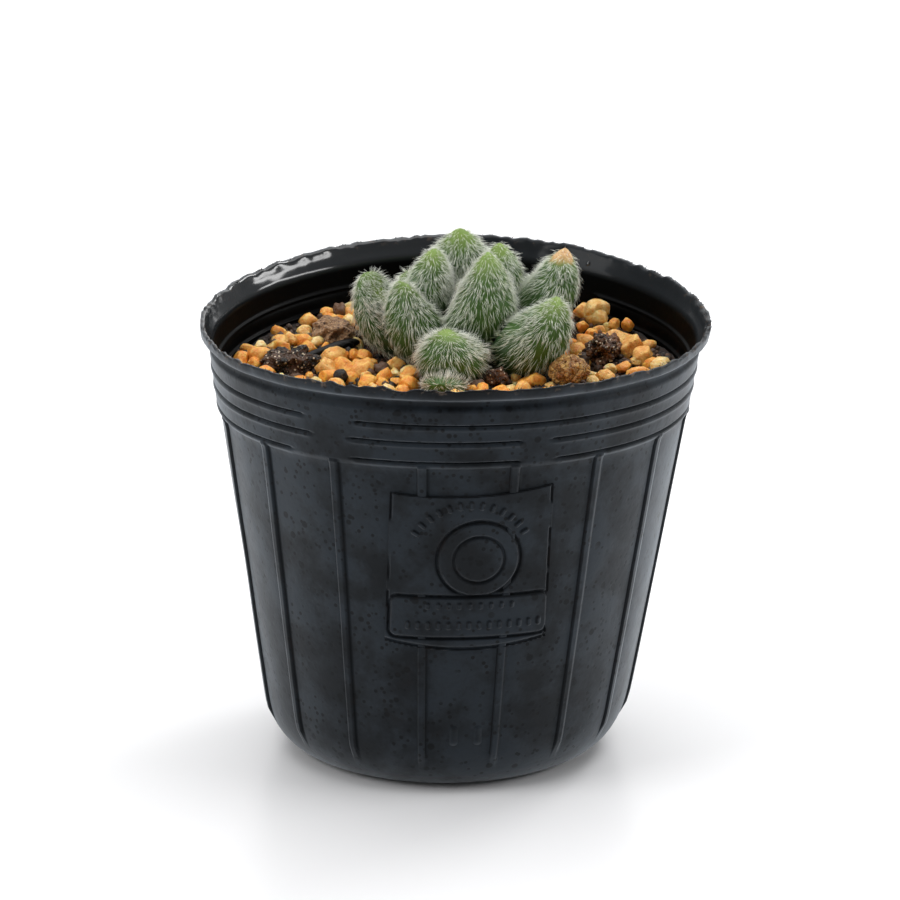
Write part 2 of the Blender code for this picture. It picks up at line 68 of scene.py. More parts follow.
# A spike, such as a hair: two rings of three points, a third of a turn apart, and its tip
THIRDS, SPIKE_POINTS = (0.0, math.tau / 3, 2 * math.tau / 3), 7

# The clearance that touching pieces keep, as in the part's source
GAP = 0.3

# The pot, as in the part's source. Its skin is wall past the wall's least radius, and base within it
RIM_RADIUS, POT_HEIGHT, WALL = 30.0, 52.4, 0.6
WALL_LINE_RADIUS, WALL_FLARE = 20.78, 0.1554
CORNER_HEIGHT, FOOT_RADIUS, FOOT_WIDTH, BASE_RAISE = 7.6, 15.2, 3.0, 1.0
WALL_LEAST_RADIUS = 17.5
MIDDLE_HOLE_RADIUS, SIDE_HOLE_RADIUS, SIDE_HOLE_CIRCLE, SIDE_HOLES = 2.8, 1.6, 9.0, 4
BAND_FOOT, BAND_TOP, BAND_PROUD = 42.2, 49.7, 0.35
RIBS, RIB_PHASE, RIB_FOOT, RIB_TOP, RIB_PROUD = 16, math.radians(-7.5), 4.6, 43.2, 0.3
LABEL_TURN, PANEL_WIDTH, PANEL_PROUD, PANEL_LOW, PANEL_HIGH = math.radians(4.9), 19.4, 0.4, 18.95, 38.85
BAR_WIDTH, BAR_LOW, BAR_HIGH, BAR_CORNER = 18.6, 20.7, 26.1, 1.0
DIAL_OFFSET, DIAL_HEIGHT, DIAL_RADIUS, DISC_RADIUS = 1.0, 30.8, 4.8, 2.9
BACK_RISE, BACK_SPREAD, SIDE_DIP, LEAN = 1.5, 1.5, 1.1, 1.3
SETTLE_FROM, SETTLE_FULL, SETTLE_RADIUS = 8.0, 42.0, 30.0

# The ring grooves: height, and the gaps on the label's side in degrees. The same gaps lie on the far side
GROOVES = (
    (47.65, ((-37.8, -23.5),)),
    (45.5, ((-35.8, -25.2), (16.0, 23.5))),
    (43.0, ((-42.2, -24.5), (15.8, 25.0))),
)
GROOVE_DEPTH, GROOVE_ABOVE, GROOVE_BELOW = 0.42, 0.26, 0.18
BEAD_PROUD, BEAD_BELOW, BEAD_WIDTH = 0.12, 0.42, 0.2
RIB_HALF_ANGLE = math.radians(1.1)

# The lip's skin as radius and height: from the cut edge down the outside, and up the inside to the edge again
LIP_OUTSIDE = (
    (29.98, 52.36), (29.97, 52.1), (29.93, 51.7), (29.84, 51.35), (29.6, 51.1), (29.15, 50.9), (28.75, 50.7),
    (28.55, 50.4), (28.55, 50.1), (28.6, 49.88),
)
LIP_INSIDE = (
    (28.35, 50.3), (28.6, 50.7), (28.9, 51.1), (29.1, 51.5), (29.28, 51.9), (29.4, 52.1), (29.55, 52.3),
)

# How close the rows of points lie: over the band, round each groove's line, and down the wall
BAND_STEP, WALL_STEP, LEAST_ROW_STEP = 0.46, 1.02, 0.035
GROOVE_ROWS = np.array([-0.75, -0.58, -0.44, -0.33, -0.25, -0.18, -0.11, -0.04, 0.04, 0.12, 0.2, 0.3, 0.42])
COLUMNS, LEAST_COLUMN_STEP = 400, 0.0009

# How far a relief sheet's front lies under the wall where the relief is nothing, and how far its back does
SHEET_SUNK, SHEET_ROOT = 0.14, 0.35

# The label's bars: an arc of them over the dial, and rows: first place, count, pitch, height and half sizes
ARC_BARS, ARC_RADIUS, ARC_MIDDLE, ARC_HALF = range(-60, 61, 10), 7.2, (-0.1, 30.5), (0.25, 0.52)
BAR_ROWS = ((-4.6, 9, 1.2, 24.9, (0.22, 0.4)), (-6.8, 14, 1.16, 22.4, (0.25, 0.5)))

# The two domed bars low on the front
STUD_PLACES, STUD_HEIGHT, STUD_HALF_WIDTH, STUD_STRAIGHT, STUD_PROUD = (-1.0, 1.8), 7.9, 0.95, 0.8, 0.34

# The soil and what lies on it
SOIL_INSET, SOIL_FLOOR, SOIL_TOP, SOIL_FALL, DRESSING_RADIUS = 1.0, 1.95, 44.5, 0.9, 26.2
SOIL_RISE, SOIL_RISE_FROM, SOIL_RISE_FULL = 1.2, 18.0, 26.0

# The plant, as in the part's source
STEM_PLACE, STEM_RADIUS, STEM_TOP, LEAF_FLOOR = (1.0, 6.0), 1.7, 49.5, 45.5
LEAF_WIDEST, LEAF_MIDDLE, LEAF_CORE, PRESS_POWER, SEARCH_DIRECTIONS = 0.42, 0.45, 0.8, 14, 600
LEAF_FIRMNESS = {"leaf_front": 4.0, "leaf_right_front": 2.0, "leaf_middle": 2.0, "leaf_front_low": 0.4}
LEAVES = {
    "leaf_front": ((0.4, 1.8, 47.0), (-0.6, -4.6, 46.6), (-1.0, -3.2, 51.8), 8.3, 7.9),
    "leaf_front_low": ((-0.6, -2.4, 45.9), (-1.5, -6.8, 45.2), (-1.8, -9.4, 46.9), 5.2, 2.8),
    "leaf_left_front": ((-0.8, 5.6, 47.0), (-5.9, 5.0, 47.4), (-5.4, 5.6, 56.4), 8.8, 7.4),
    "leaf_left": ((-0.9, 6.6, 47.0), (-11.4, 8.6, 47.4), (-9.3, 9.6, 56.4), 7.0, 6.6),
    "leaf_middle_left": ((-0.4, 7.4, 48.2), (-3.2, 8.7, 50.5), (-2.5, 8.2, 58.3), 7.8, 7.0),
    "leaf_middle": ((1.6, 4.6, 47.6), (3.2, 1.6, 49.0), (3.8, 4.3, 59.0), 8.5, 7.4),
    "leaf_middle_right": ((2.4, 7.6, 48.2), (5.7, 10.6, 51.0), (5.2, 9.9, 58.5), 7.0, 6.6),
    "leaf_right": ((3.4, 6.6, 47.2), (11.8, 8.0, 50.0), (13.0, 8.2, 58.4), 7.2, 6.8),
    "leaf_right_front": ((4.2, 3.6, 47.0), (9.9, -1.6, 47.2), (11.9, 0.6, 54.6), 8.4, 7.6),
    "leaf_back": ((1.0, 8.2, 48.0), (0.0, 13.4, 51.0), (0.6, 12.2, 59.7), 9.4, 7.4),
    "leaf_back_right": ((2.4, 7.4, 46.8), (10.6, 15.0, 46.6), (10.0, 14.0, 54.2), 8.0, 7.0),
    "leaf_back_left": ((-0.2, 7.6, 46.8), (-5.6, 15.0, 46.6), (-4.6, 13.8, 54.8), 8.0, 7.0),
    "leaf_back_low": ((1.4, 8.2, 46.6), (4.0, 19.6, 46.2), (3.6, 17.8, 52.8), 8.0, 6.6),
    "leaf_left_low": ((-0.8, 7.4, 46.4), (-9.8, 15.2, 45.8), (-8.8, 14.2, 52.0), 7.2, 6.0),
    "leaf_right_low": ((2.8, 7.0, 46.6), (12.0, 12.6, 45.8), (11.0, 12.4, 50.6), 6.4, 5.6),
    "leaf_bud": ((1.2, 7.4, 49.8), (1.0, 8.6, 51.4), (1.0, 8.4, 54.2), 4.4, 4.4),
}

# The coat of hairs: the most to a square millimetre, their length and half width, how deep the roots sit, and
# how near a neighbour's skin none grow
HAIR_DENSITY, HAIR_LENGTH, HAIR_RADIUS, HAIR_ROOT, HAIR_CLEAR = 43.2, (0.9, 1.75), 0.022, 0.04, 0.36

# What lies on the soil and clings to the pot, by count
CRUMBS, BURRS, GRAIN_TRIES = 4200, 240, 9000

# The water drops on the inside of the lip: azimuth from the front in degrees, height and radius
DROPS = ((146.0, 50.9, 0.32), (144.6, 50.5, 0.22), (147.2, 50.3, 0.26), (149.0, 51.0, 0.2))

# The camera: how far it looks down, its distance and aim, and the picture's scale and its side in pixels
CAMERA_DOWN, CAMERA_DISTANCE, CAMERA_AIM = math.radians(17.6), 800, (-0.65, 0.0, 35.85)
PIXELS_TO_MM, PICTURE_PIXELS, SENSOR_WIDTH = 8.45, 900, 36

# Soft boxes, in metres: place, width and height, brightness for each square metre, and what they face
LAMPS = {
    "lamp_overhead": ((0.0, 0.3, 1.1), (1.4, 1.4), 2.3, (0.0, 0.3001, 0.0)),
    "lamp_backdrop": ((0.0, 1.3, 0.45), (1.8, 0.9), 1.1, (0.0, 0.0, 0.45)),
    "lamp_back_right": ((0.55, 0.6, 0.75), (0.3, 0.3), 9.0, (0.0, 0.0, 0.03)),
    "lamp_left": ((-0.75, -0.33, 0.55), (0.5, 0.5), 4.6, (0.0, 0.0, 0.03)),
    "lamp_right_strip": ((0.8, -0.08, 0.4), (0.6, 0.12), 11.0, (0.0, 0.0, 0.03)),
}
ROOM_LIGHT = 0.28


class Level:
    """A number that varies over a surface: one shader socket, with the arithmetic that a material needs."""

    def __init__(self, tree, socket):
        self.tree, self.socket = tree, socket

    def step(self, operation, *values):
        """A Math node over sockets and plain numbers."""
        node = self.tree.nodes.new("ShaderNodeMath")
        node.operation = operation
        for place, value in zip(node.inputs, values):
            if isinstance(value, Level):
                self.tree.links.new(value.socket, place)
            else:
                place.default_value = value
        return Level(self.tree, node.outputs[0])

    def __add__(self, other):
        return self.step("ADD", self, other)

    def __sub__(self, other):
        return self.step("SUBTRACT", self, other)

    def __mul__(self, other):
        return self.step("MULTIPLY", self, other)

    def __truediv__(self, other):
        return self.step("DIVIDE", self, other)

    def __rsub__(self, other):
        return self.step("SUBTRACT", other, self)

    __radd__, __rmul__ = __add__, __mul__

    def least(self, other):
        return self.step("MINIMUM", self, other)

    def most(self, other):
        return self.step("MAXIMUM", self, other)

    def clipped(self):
        return self.least(1.0).most(0.0)

    def rise(self, low, high):
        """0 below the low level and 1 above the high one, smooth between them."""
        share = ((self - low) / (high - low)).clipped()
        return share * share * (3.0 - share * 2.0)


class Finish:
    """One material: a Principled shader whose sockets take numbers, levels and colours."""

    def __init__(self, name, **fixed):
        self.material = bpy.data.materials.new(name)
        self.material.use_nodes = True
        self.tree = self.material.node_tree
        self.shader = self.tree.nodes["Principled BSDF"]
        for socket, value in fixed.items():
            self.shader.inputs[socket.replace("_", " ")].default_value = value
        self.place = self.node("ShaderNodeTexCoord").outputs["Object"]

    def node(self, kind, settings=None, **values):
        """A node of a type, with its settings set first and then its sockets' values or links."""
        made = self.tree.nodes.new(kind)
        for key, value in (settings or {}).items():
            setattr(made, key, value)
        for key, value in values.items():
            self.feed(made.inputs[key.replace("_", " ")], value)
        return made

    def feed(self, socket, value):
        """Links a level or a socket, or sets a plain value."""
        if isinstance(value, Level):
            self.tree.links.new(value.socket, socket)
        elif isinstance(value, bpy.types.NodeSocket):
            self.tree.links.new(value, socket)
        else:
            socket.default_value = value

    def noise(self, size, detail=2.0, roughness=0.5, place=None):
        """Cloudy noise from about 0 to 1, with features of a size in millimetres."""
        made = self.node(
            "ShaderNodeTexNoise", Vector=place or self.place, Scale=1 / (size * MM), Detail=detail,
            Roughness=roughness,
        )
        return Level(self.tree, made.outputs[0])

    def cells(self, size, feature="F1", randomness=1.0):
        """The distance to the nearest of scattered points, as a share of their spacing in millimetres."""
        made = self.node(
            "ShaderNodeTexVoronoi", {"feature": feature}, Vector=self.place, Scale=1 / (size * MM),
            Randomness=randomness,
        )
        return Level(self.tree, made.outputs[0])

    def stretched(self, factors):
        """The object's coordinates, drawn out along its axes."""
        made = self.node("ShaderNodeVectorMath", {"operation": "MULTIPLY"})
        self.feed(made.inputs[0], self.place)
        made.inputs[1].default_value = factors
        return made.outputs[0]

    def mark(self, name):
        """A number that the mesh carries at its points."""
        made = self.node("ShaderNodeAttribute", {"attribute_name": name})
        return Level(self.tree, made.outputs["Fac"])

    def height(self):
        """The height of the shaded point in millimetres."""
        made = self.node("ShaderNodeSeparateXYZ", Vector=self.place)
        return Level(self.tree, made.outputs["Z"]) * (1 / MM)

    def blend(self, share, first, second):
        """A colour between two colours."""
        made = self.node("ShaderNodeMix", {"data_type": "RGBA"})
        self.feed(made.inputs[0], share)
        for socket, colour in ((made.inputs[6], first), (made.inputs[7], second)):
            self.feed(socket, (*colour, 1.0) if isinstance(colour, tuple) else colour)
        return made.outputs[2]

    def colour(self, socket):
        self.feed(self.shader.inputs["Base Color"], socket)

    def rough(self, level):
        self.feed(self.shader.inputs["Roughness"], level)

    def bump(self, level, depth):
        """Raises the surface by a level times a depth in millimetres."""
        made = self.node("ShaderNodeBump", Height=level, Strength=1.0, Distance=depth * MM)
        self.feed(self.shader.inputs["Normal"], made.outputs[0])

    def second(self, share, **fixed):
        """Mixes a second Principled shader in by a share. Colour, roughness and bump that follow go to it."""
        first, self.shader = self.shader, self.node("ShaderNodeBsdfPrincipled", **fixed)
        mix = self.node("ShaderNodeMixShader")
        for socket, value in zip(mix.inputs, (share, first.outputs[0], self.shader.outputs[0])):
            self.feed(socket, value)
        self.feed(self.tree.nodes["Material Output"].inputs["Surface"], mix.outputs[0])


# What the pot's mesh tells its finish: the cut rim, where no dust lies inside and where painted shade darkens
# steep relief and the ribs' feet outside, the lip inside and where that is wet
POT_MARKS = ("edge", "clean_and_shade", "lip", "gloss")


def pot_finish():
    """Black plastic: clean inside, and outside under a thin grey film of dust with round dried water spots.

    The film is the first shader's sheen and colour. The second shader is clean, dark plastic, which also
    shows where the film is thin and is mixed in outside as painted shade on steep relief and at the ribs'
    feet. Inside, it is painted lighter at the lip as a painted reflection, and is glossy there.
    """
    brown_dust = (0.12, 0.085, 0.06)
    film = Finish("pot_plastic", Specular_IOR_Level=0.1, Sheen_Weight=0.5, Sheen_Roughness=0.46)
    film.shader.inputs["Sheen Tint"].default_value = (0.86, 0.93, 1.0, 1.0)
    cloud = film.noise(7.0, 4.0, 0.6)
    fine = film.noise(0.45, 3.0, 0.7)
    spots = film.cells(0.95).rise(0.2, 0.3).least(film.cells(2.7).rise(0.13, 0.19))
    spotted = film.noise(5.0, 2.0).rise(0.36, 0.54)
    haze = (cloud.rise(0.36, 0.66) * 0.8 + 0.2) * (1.0 - spotted * (1.0 - spots) * 0.9) * (0.6 + fine * 0.8)
    base = film.blend(haze, (0.0008, 0.0016, 0.0026), (0.0095, 0.0145, 0.0205))
    scuff = film.noise(0.9, 6.0, 0.8, film.stretched((1.0, 1.0, 0.16))).rise(0.68, 0.8)
    base = film.blend(scuff * 0.2, base, (0.07, 0.08, 0.09))
    edge, clean_and_shade, lip, gloss = (film.mark(name) for name in POT_MARKS)
    crust = film.noise(1.1, 4.0, 0.7)
    dust = edge * crust.rise(0.56, 0.68)
    film.colour(film.blend(dust * 0.8, film.blend(edge * 0.6, base, (0.004, 0.004, 0.0045)), brown_dust))
    film.rough(0.38 + haze * 0.16 + dust * 0.3)
    relief = cloud * 1.2 + fine * 0.08 + spots * 0.06 + scuff * 0.1
    film.bump(relief, 0.09)

    # The dark second shader takes over inside, where the plastic is clean, where the film is thin, and
    # outside as painted shade on steep relief and at the ribs' feet
    film.second(clean_and_shade.most((0.75 - haze).clipped() * 0.5), Specular_IOR_Level=0.04, Coat_Roughness=0.13)
    stain = film.noise(2.2, 5.0, 0.7).rise(0.5, 0.68) * (1.0 - film.height().rise(45.0, 49.5))
    # The lip inside is painted lighter grey than the wall below it: a painted reflection
    base = film.blend(lip, (0.0005, 0.0007, 0.0009), (0.0115, 0.014, 0.0165))
    base = film.blend(stain * 0.3, base, (0.022, 0.011, 0.006))
    film.colour(film.blend(dust * 0.4, base, brown_dust))
    film.rough(0.4 + dust * 0.3 + stain * 0.2)
    film.feed(film.shader.inputs["Coat Weight"], gloss)
    film.bump(relief, 0.09)
    return film.material


def soil_finish():
    """Moist dark brown soil with wet glints."""
    earth = Finish("soil_moist")
    grit = earth.noise(0.45, 5.0, 0.75)
    clods = earth.noise(1.6, 4.0, 0.6)
    base = earth.blend(clods.rise(0.35, 0.7), (0.006, 0.0032, 0.0022), (0.045, 0.02, 0.009))
    earth.colour(earth.blend(grit.rise(0.52, 0.72) * 0.7, base, (0.14, 0.07, 0.03)))
    earth.rough(0.25 + grit.rise(0.3, 0.6) * 0.5)
    earth.bump(grit + clods * 0.6, 0.45)
    return earth.material


def crumb_finish():
    """Crumbs of soil, from nearly black to reddish brown, one tint for each crumb."""
    crumb = Finish("soil_crumbs")
    grit = crumb.noise(0.25, 3.0, 0.7)
    base = crumb.blend(crumb.mark("tint"), (0.006, 0.0042, 0.0036), (0.15, 0.075, 0.038))
    crumb.colour(crumb.blend(grit.rise(0.52, 0.76) * 0.5, base, (0.3, 0.18, 0.1)))
    crumb.rough(0.25 + grit.rise(0.3, 0.6) * 0.45)
    crumb.bump(grit, 0.14)
    return crumb.material


def bark_finish(name, dark, brown):
    """Wet composted bark: dark crumbs between two colours, with pale specks that are partly grains of sand
    and partly painted glints.
    """
    bark = Finish(name, Specular_IOR_Level=0.4)
    crumbs = bark.cells(0.5)
    grit = bark.noise(0.35, 4.0, 0.7)
    patches = bark.noise(1.4, 3.0, 0.6)
    base = bark.blend(patches.rise(0.4, 0.62), dark, brown)
    base = bark.blend(grit.rise(0.56, 0.72) * 0.6, base, tuple(2.6 * level for level in brown))
    # Pale specks: partly sand, partly painted glints
    sand_and_glints = 1.0 - bark.cells(0.5, randomness=0.9).rise(0.22, 0.3)
    bark.colour(bark.blend(sand_and_glints * bark.noise(0.9, 2.0).rise(0.43, 0.5) * 0.9, base, (0.8, 0.66, 0.48)))
    bark.rough(0.12 + grit.rise(0.35, 0.6) * 0.4)
    bark.bump(crumbs * -1.0 + grit * 0.7, 0.34)
    return bark.material


def strip_finish():
    """A flat sliver of charred bark: black, with lighter streaks along its grain that are partly its grain
    and partly a painted sheen.
    """
    strip = Finish("bark_strip", Roughness=0.5, Specular_IOR_Level=0.2)
    grain = strip.noise(0.3, 3.0, 0.6, strip.stretched((0.3, 0.3, 1.0)))
    # The lighter streaks along the grain are partly a painted sheen
    strip.colour(strip.blend(grain.rise(0.55, 0.8), (0.002, 0.0014, 0.0012), (0.012, 0.007, 0.004)))
    strip.bump(grain, 0.12)
    return strip.material


def clod_finish():
    """A crumbly brown clod of fibrous soil, lighter than the soil under it."""
    clod = Finish("soil_clod")
    crumbs = clod.cells(0.5)
    grit = clod.noise(0.28, 4.0, 0.7)
    base = clod.blend(crumbs.rise(0.12, 0.5), (0.06, 0.028, 0.013), (0.36, 0.2, 0.1))
    clod.colour(clod.blend(grit.rise(0.54, 0.62) * 0.8, base, (0.72, 0.48, 0.27)))
    clod.rough(0.22 + grit.rise(0.3, 0.6) * 0.4)
    clod.bump(crumbs * -0.8 + grit, 0.45)
    return clod.material


def porous_finish():
    """A porous golden-brown grain: ochre skin parted by dark seams, with wet glints."""
    stone = Finish("porous_stone")
    seams = stone.cells(0.7, feature="DISTANCE_TO_EDGE")
    grit = stone.noise(0.3, 4.0, 0.7)
    hue = stone.noise(1.2, 3.0, 0.6).rise(0.4, 0.62)
    skin = stone.blend(hue, (0.32, 0.13, 0.03), (0.62, 0.36, 0.1))
    base = stone.blend(seams.rise(0.0, 0.07), (0.11, 0.045, 0.013), skin)
    stone.colour(stone.blend(grit.rise(0.54, 0.68) * 0.8, base, (0.75, 0.52, 0.24)))
    stone.rough(0.2 + grit * 0.35)
    stone.bump(seams.rise(0.0, 0.16) * 0.5 + grit * 1.3, 0.34)
    return stone.material


def pumice_finish():
    """Damp pumice that lets some light in: each grain between amber and pale yellow, with its hollows painted
    darker as shade.
    """
    grain = Finish("pumice", Subsurface_Weight=0.3, Subsurface_Scale=0.0006)
    grain.shader.inputs["Subsurface Radius"].default_value = (1.0, 0.45, 0.15)
    mottle = grain.noise(0.8, 4.0, 0.65)
    grit = grain.noise(0.2, 3.0, 0.7)
    amber = grain.blend(mottle.rise(0.38, 0.64), (0.8, 0.25, 0.016), (0.95, 0.5, 0.075))
    pale = grain.blend(mottle.rise(0.38, 0.64), (0.78, 0.5, 0.14), (0.93, 0.8, 0.42))
    base = grain.blend(grain.mark("tint"), amber, pale)
    base = grain.blend(grit.rise(0.6, 0.78) * 0.35, base, (0.95, 0.82, 0.5))
    # Hollows painted darker: painted shade
    shaded_pits = 1.0 - grain.cells(0.8).rise(0.06, 0.2)
    grain.colour(grain.blend(shaded_pits * 0.4, base, (0.3, 0.09, 0.014)))
    grain.rough(0.16 + grit * 0.34)
    grain.bump(mottle * 0.8 + grit * 0.6 - shaded_pits * 0.4, 0.2)
    return grain.material


def leaf_finish():
    """Fleshy green: darker at the base, partly its own colour and partly painted shade, yellow-green towards
    the tip, and dry tan where a tip has died.
    """
    leaf = Finish("leaf_green", Subsurface_Weight=0.1, Subsurface_Scale=0.001)
    leaf.shader.inputs["Subsurface Radius"].default_value = (0.4, 1.0, 0.2)
    along = leaf.mark("along")
    cloud = leaf.noise(1.6, 3.0, 0.6)
    streaks = leaf.noise(0.3, 3.0, 0.6)
    # Darker low on the leaf: partly the leaf's own colour, partly painted shade
    base = leaf.blend(along.rise(0.2, 0.7), (0.006, 0.022, 0.003), (0.036, 0.105, 0.009))
    base = leaf.blend(along.rise(0.8, 1.0), base, (0.22, 0.33, 0.06))
    base = leaf.blend(cloud.rise(0.45, 0.75) * along.rise(0.3, 0.8) * 0.35, base, (0.1, 0.2, 0.03))
    base = leaf.blend(streaks.rise(0.5, 0.8) * 0.3, base, (0.01, 0.03, 0.006))
    dry = leaf.blend(streaks.rise(0.4, 0.7), (0.56, 0.31, 0.12), (0.78, 0.55, 0.28))
    leaf.colour(leaf.blend(leaf.mark("dead"), base, dry))
    leaf.rough(0.4 + cloud * 0.2)
    leaf.bump(streaks + cloud * 0.5, 0.08)
    return leaf.material


def hair_finish():
    """White hair, greener at its root, painted darker and greener low on a leaf as shade, whiter on the
    leaf's margins as painted light, and brownish where a leaf lies near the soil.
    """
    hair = Finish("hair_white", Roughness=0.4, Specular_IOR_Level=0.5)
    # Low on a leaf the hairs are painted darker as shade; margin hairs come out whiter as painted light
    high = hair.mark("along").rise(0.3, 0.85)
    root = hair.blend(high, (0.06, 0.12, 0.02), (0.42, 0.52, 0.22))
    root = hair.blend(hair.mark("soiled"), root, (0.26, 0.18, 0.1))
    tip = hair.blend(high, (0.36, 0.45, 0.24), (0.96, 0.98, 0.9))
    tip = hair.blend(hair.mark("soiled"), tip, (0.76, 0.68, 0.54))
    hair.colour(hair.blend(hair.mark("out").rise(0.0, 0.5), root, tip))
    return hair.material


def stem_finish():
    """A soft green stem with brown scars."""
    stem = Finish("stem_green", Roughness=0.6)
    scars = stem.noise(0.8, 3.0, 0.6)
    stem.colour(stem.blend(scars.rise(0.5, 0.65), (0.12, 0.2, 0.04), (0.16, 0.09, 0.04)))
    stem.bump(scars, 0.2)
    return stem.material


def drop_finish():
    """A clear water drop."""
    water = Finish("water", Base_Color=(1, 1, 1, 1), Roughness=0.02, Transmission_Weight=1.0, IOR=1.33)
    return water.material


def burr_finish():
    """Frayed plastic at the cut rim, dusted brown."""
    burr = Finish("rim_burr", Roughness=0.5)
    burr.colour(burr.blend(burr.noise(0.6, 2.0).rise(0.4, 0.6), (0.012, 0.012, 0.013), (0.07, 0.042, 0.028)))
    return burr.material


def floor_finish():
    """A pale table with a soft gloss."""
    pale = Finish("table_pale", Base_Color=(0.87, 0.87, 0.88, 1), Roughness=0.3, Specular_IOR_Level=0.2)
    return pale.material


def corner_value(corners, seed):
    """A fixed random number from -1 to 1 for each whole-numbered corner, by mixing its bits."""
    mixed = corners[..., 0] * 73856093 ^ corners[..., 1] * 19349663 ^ corners[..., 2] * 83492791
    mixed = (mixed ^ seed * 2654435761) & 0xFFFFFFFF
    mixed = (mixed ^ mixed >> 15) * 2246822519 & 0xFFFFFFFF
    mixed = (mixed ^ mixed >> 13) * 3266489917 & 0xFFFFFFFF
    return (mixed ^ mixed >> 16) / 2147483647.5 - 1


def cloudy(points, size, seed=0):
    """Smooth noise from -1 to 1: the eight corner values of each cube of a size, blended along every axis."""
    place = points / size
    low = np.floor(place).astype(np.int64)
    part = place - low
    part = part * part * (3 - 2 * part)
    total = np.zeros(points.shape[:-1])
    for corner in product((0, 1), repeat=3):
        weight = np.prod(np.where(corner, part, 1 - part), axis=-1)
        total += weight * corner_value(low + corner, seed)
    return total


def rough_noise(points, size, octaves, seed=0):
    """Noise summed over octaves: each has half the size and half the height of the one before."""
    return sum(cloudy(points, size / 2 ** n, seed + n) / 2 ** n for n in range(octaves))


def smooth(values, low, high):
    """0 below low and 1 above high, with a smooth rise between them."""
    share = np.clip((values - low) / (high - low), 0, 1)
    return share * share * (3 - 2 * share)


def unit(vectors):
    """Rows of vectors, each made one long."""
    return vectors / np.maximum(np.linalg.norm(vectors, axis=-1, keepdims=True), 1e-9)


def grid_quads(rows, columns, close_rows=False, close_columns=False):
    """The quads of a grid of points that are numbered row by row, closed on itself where asked."""
    number = np.arange(rows * columns).reshape(rows, columns)
    if close_rows:
        number = np.vstack([number, number[:1]])
    if close_columns:
        number = np.hstack([number, number[:, :1]])
    corners = (number[:-1, :-1], number[1:, :-1], number[1:, 1:], number[:-1, 1:])
    return np.stack(corners, axis=-1).reshape(-1, 4)


def fan(hub, ring):
    """Triangles from one point to each side of a closed ring of points."""
    return np.stack([np.full(len(ring), hub), ring, np.roll(ring, -1)], axis=1)


def triangles_of(quads, triangles):
    """Every face as triangles."""
    return np.vstack([quads[:, [0, 1, 2]], quads[:, [0, 2, 3]], triangles])


def volume_of(points, faces):
    """The signed volume inside closed triangles: the sum of each one's volume from the origin."""
    a, b, c = (points[faces[:, corner]] for corner in range(3))
    return np.einsum("ij,ij->", a, np.cross(b, c)) / 6


NO_FACES = np.zeros((0, 3), dtype=int)
NO_QUADS = np.zeros((0, 4), dtype=int)


def merged(shapes, *faces):
    """Copies of one mesh as one: their points stacked, and each list of their faces numbered on."""
    starts = np.arange(len(shapes)) * len(shapes[0])
    return np.vstack(shapes), *(np.vstack([part + start for start in starts]) for part in faces)


def piece(name, points, material, quads=NO_QUADS, triangles=NO_FACES, nodes=(), marks=None):
    """A finished mesh object in its place: closed, facing outwards, riding on the pot.

    The nodes are those that it stands for, and the marks are numbers at its points, by name.
    """
    if volume_of(points, triangles_of(quads, triangles)) < 0:
        quads, triangles = quads[:, ::-1], triangles[:, ::-1]
    mesh = bpy.data.meshes.new(name)
    mesh.vertices.add(len(points))
    mesh.vertices.foreach_set("co", (points * MM).astype(np.float32).ravel())
    mesh.loops.add(quads.size + triangles.size)
    corners = np.concatenate([quads.ravel(), triangles.ravel()])
    mesh.loops.foreach_set("vertex_index", corners.astype(np.int32))
    mesh.polygons.add(len(quads) + len(triangles))
    starts = [np.arange(len(quads)) * 4, quads.size + np.arange(len(triangles)) * 3]
    mesh.polygons.foreach_set("loop_start", np.concatenate(starts).astype(np.int32))
    mesh.update(calc_edges=True)
    mesh.validate()
    mesh.shade_smooth()
    for mark, values in (marks or {}).items():
        mesh.attributes.new(mark, "FLOAT", "POINT").data.foreach_set("value", values.astype(np.float32))
    mesh.materials.append(material)
    made = bpy.data.objects.new(name, mesh)
    bpy.context.scene.collection.objects.link(made)
    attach(made, "root")
    if nodes:
        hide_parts(*nodes)
    return made


def wall_radius(height):
    """The outer radius of the straight wall at a height."""
    return WALL_LINE_RADIUS + WALL_FLARE * height


def settle(points):
    """The soft pot's own shape: its rim is higher at the back and dips at the sides, and its foot lies left.

    Height is added as a rising share of it, by how far back a point lies and by the square of how far aside.
    """
    x, y, z = np.moveaxis(points, -1, 0)
    share = np.clip((z - SETTLE_FROM) / (SETTLE_FULL - SETTLE_FROM), 0, 1)
    back = np.clip((1 + y / SETTLE_RADIUS) / 2, 0, 1) ** BACK_SPREAD
    raised = z + share * (BACK_RISE * back - SIDE_DIP * (x / SETTLE_RADIUS) ** 2)
    return np.stack([x - LEAN * (1 - z / POT_HEIGHT), y, raised], axis=-1)


def round_wall(azimuth, radius, height):
    """Points by their azimuth from the front, radius and height."""
    return np.stack([radius * np.sin(azimuth), -radius * np.cos(azimuth), height + 0 * azimuth], axis=-1)


def corner_curve(steps, inset=0.0):
    """The base corner: one quadratic curve from the wall in to the foot, drawn in by an inset."""
    start = np.array([wall_radius(CORNER_HEIGHT) - inset, CORNER_HEIGHT])
    bend = np.array([wall_radius(0) - inset, inset])
    end = np.array([FOOT_RADIUS - 0.4 * inset, inset])
    t = np.linspace(0, 1, steps)[:, None]
    return (1 - t) ** 2 * start + 2 * t * (1 - t) * bend + t * t * end


def even(low, high, step):
    """Evenly spaced values from low to high, both included."""
    return np.linspace(low, high, max(2, int(round(abs(high - low) / step)) + 1))


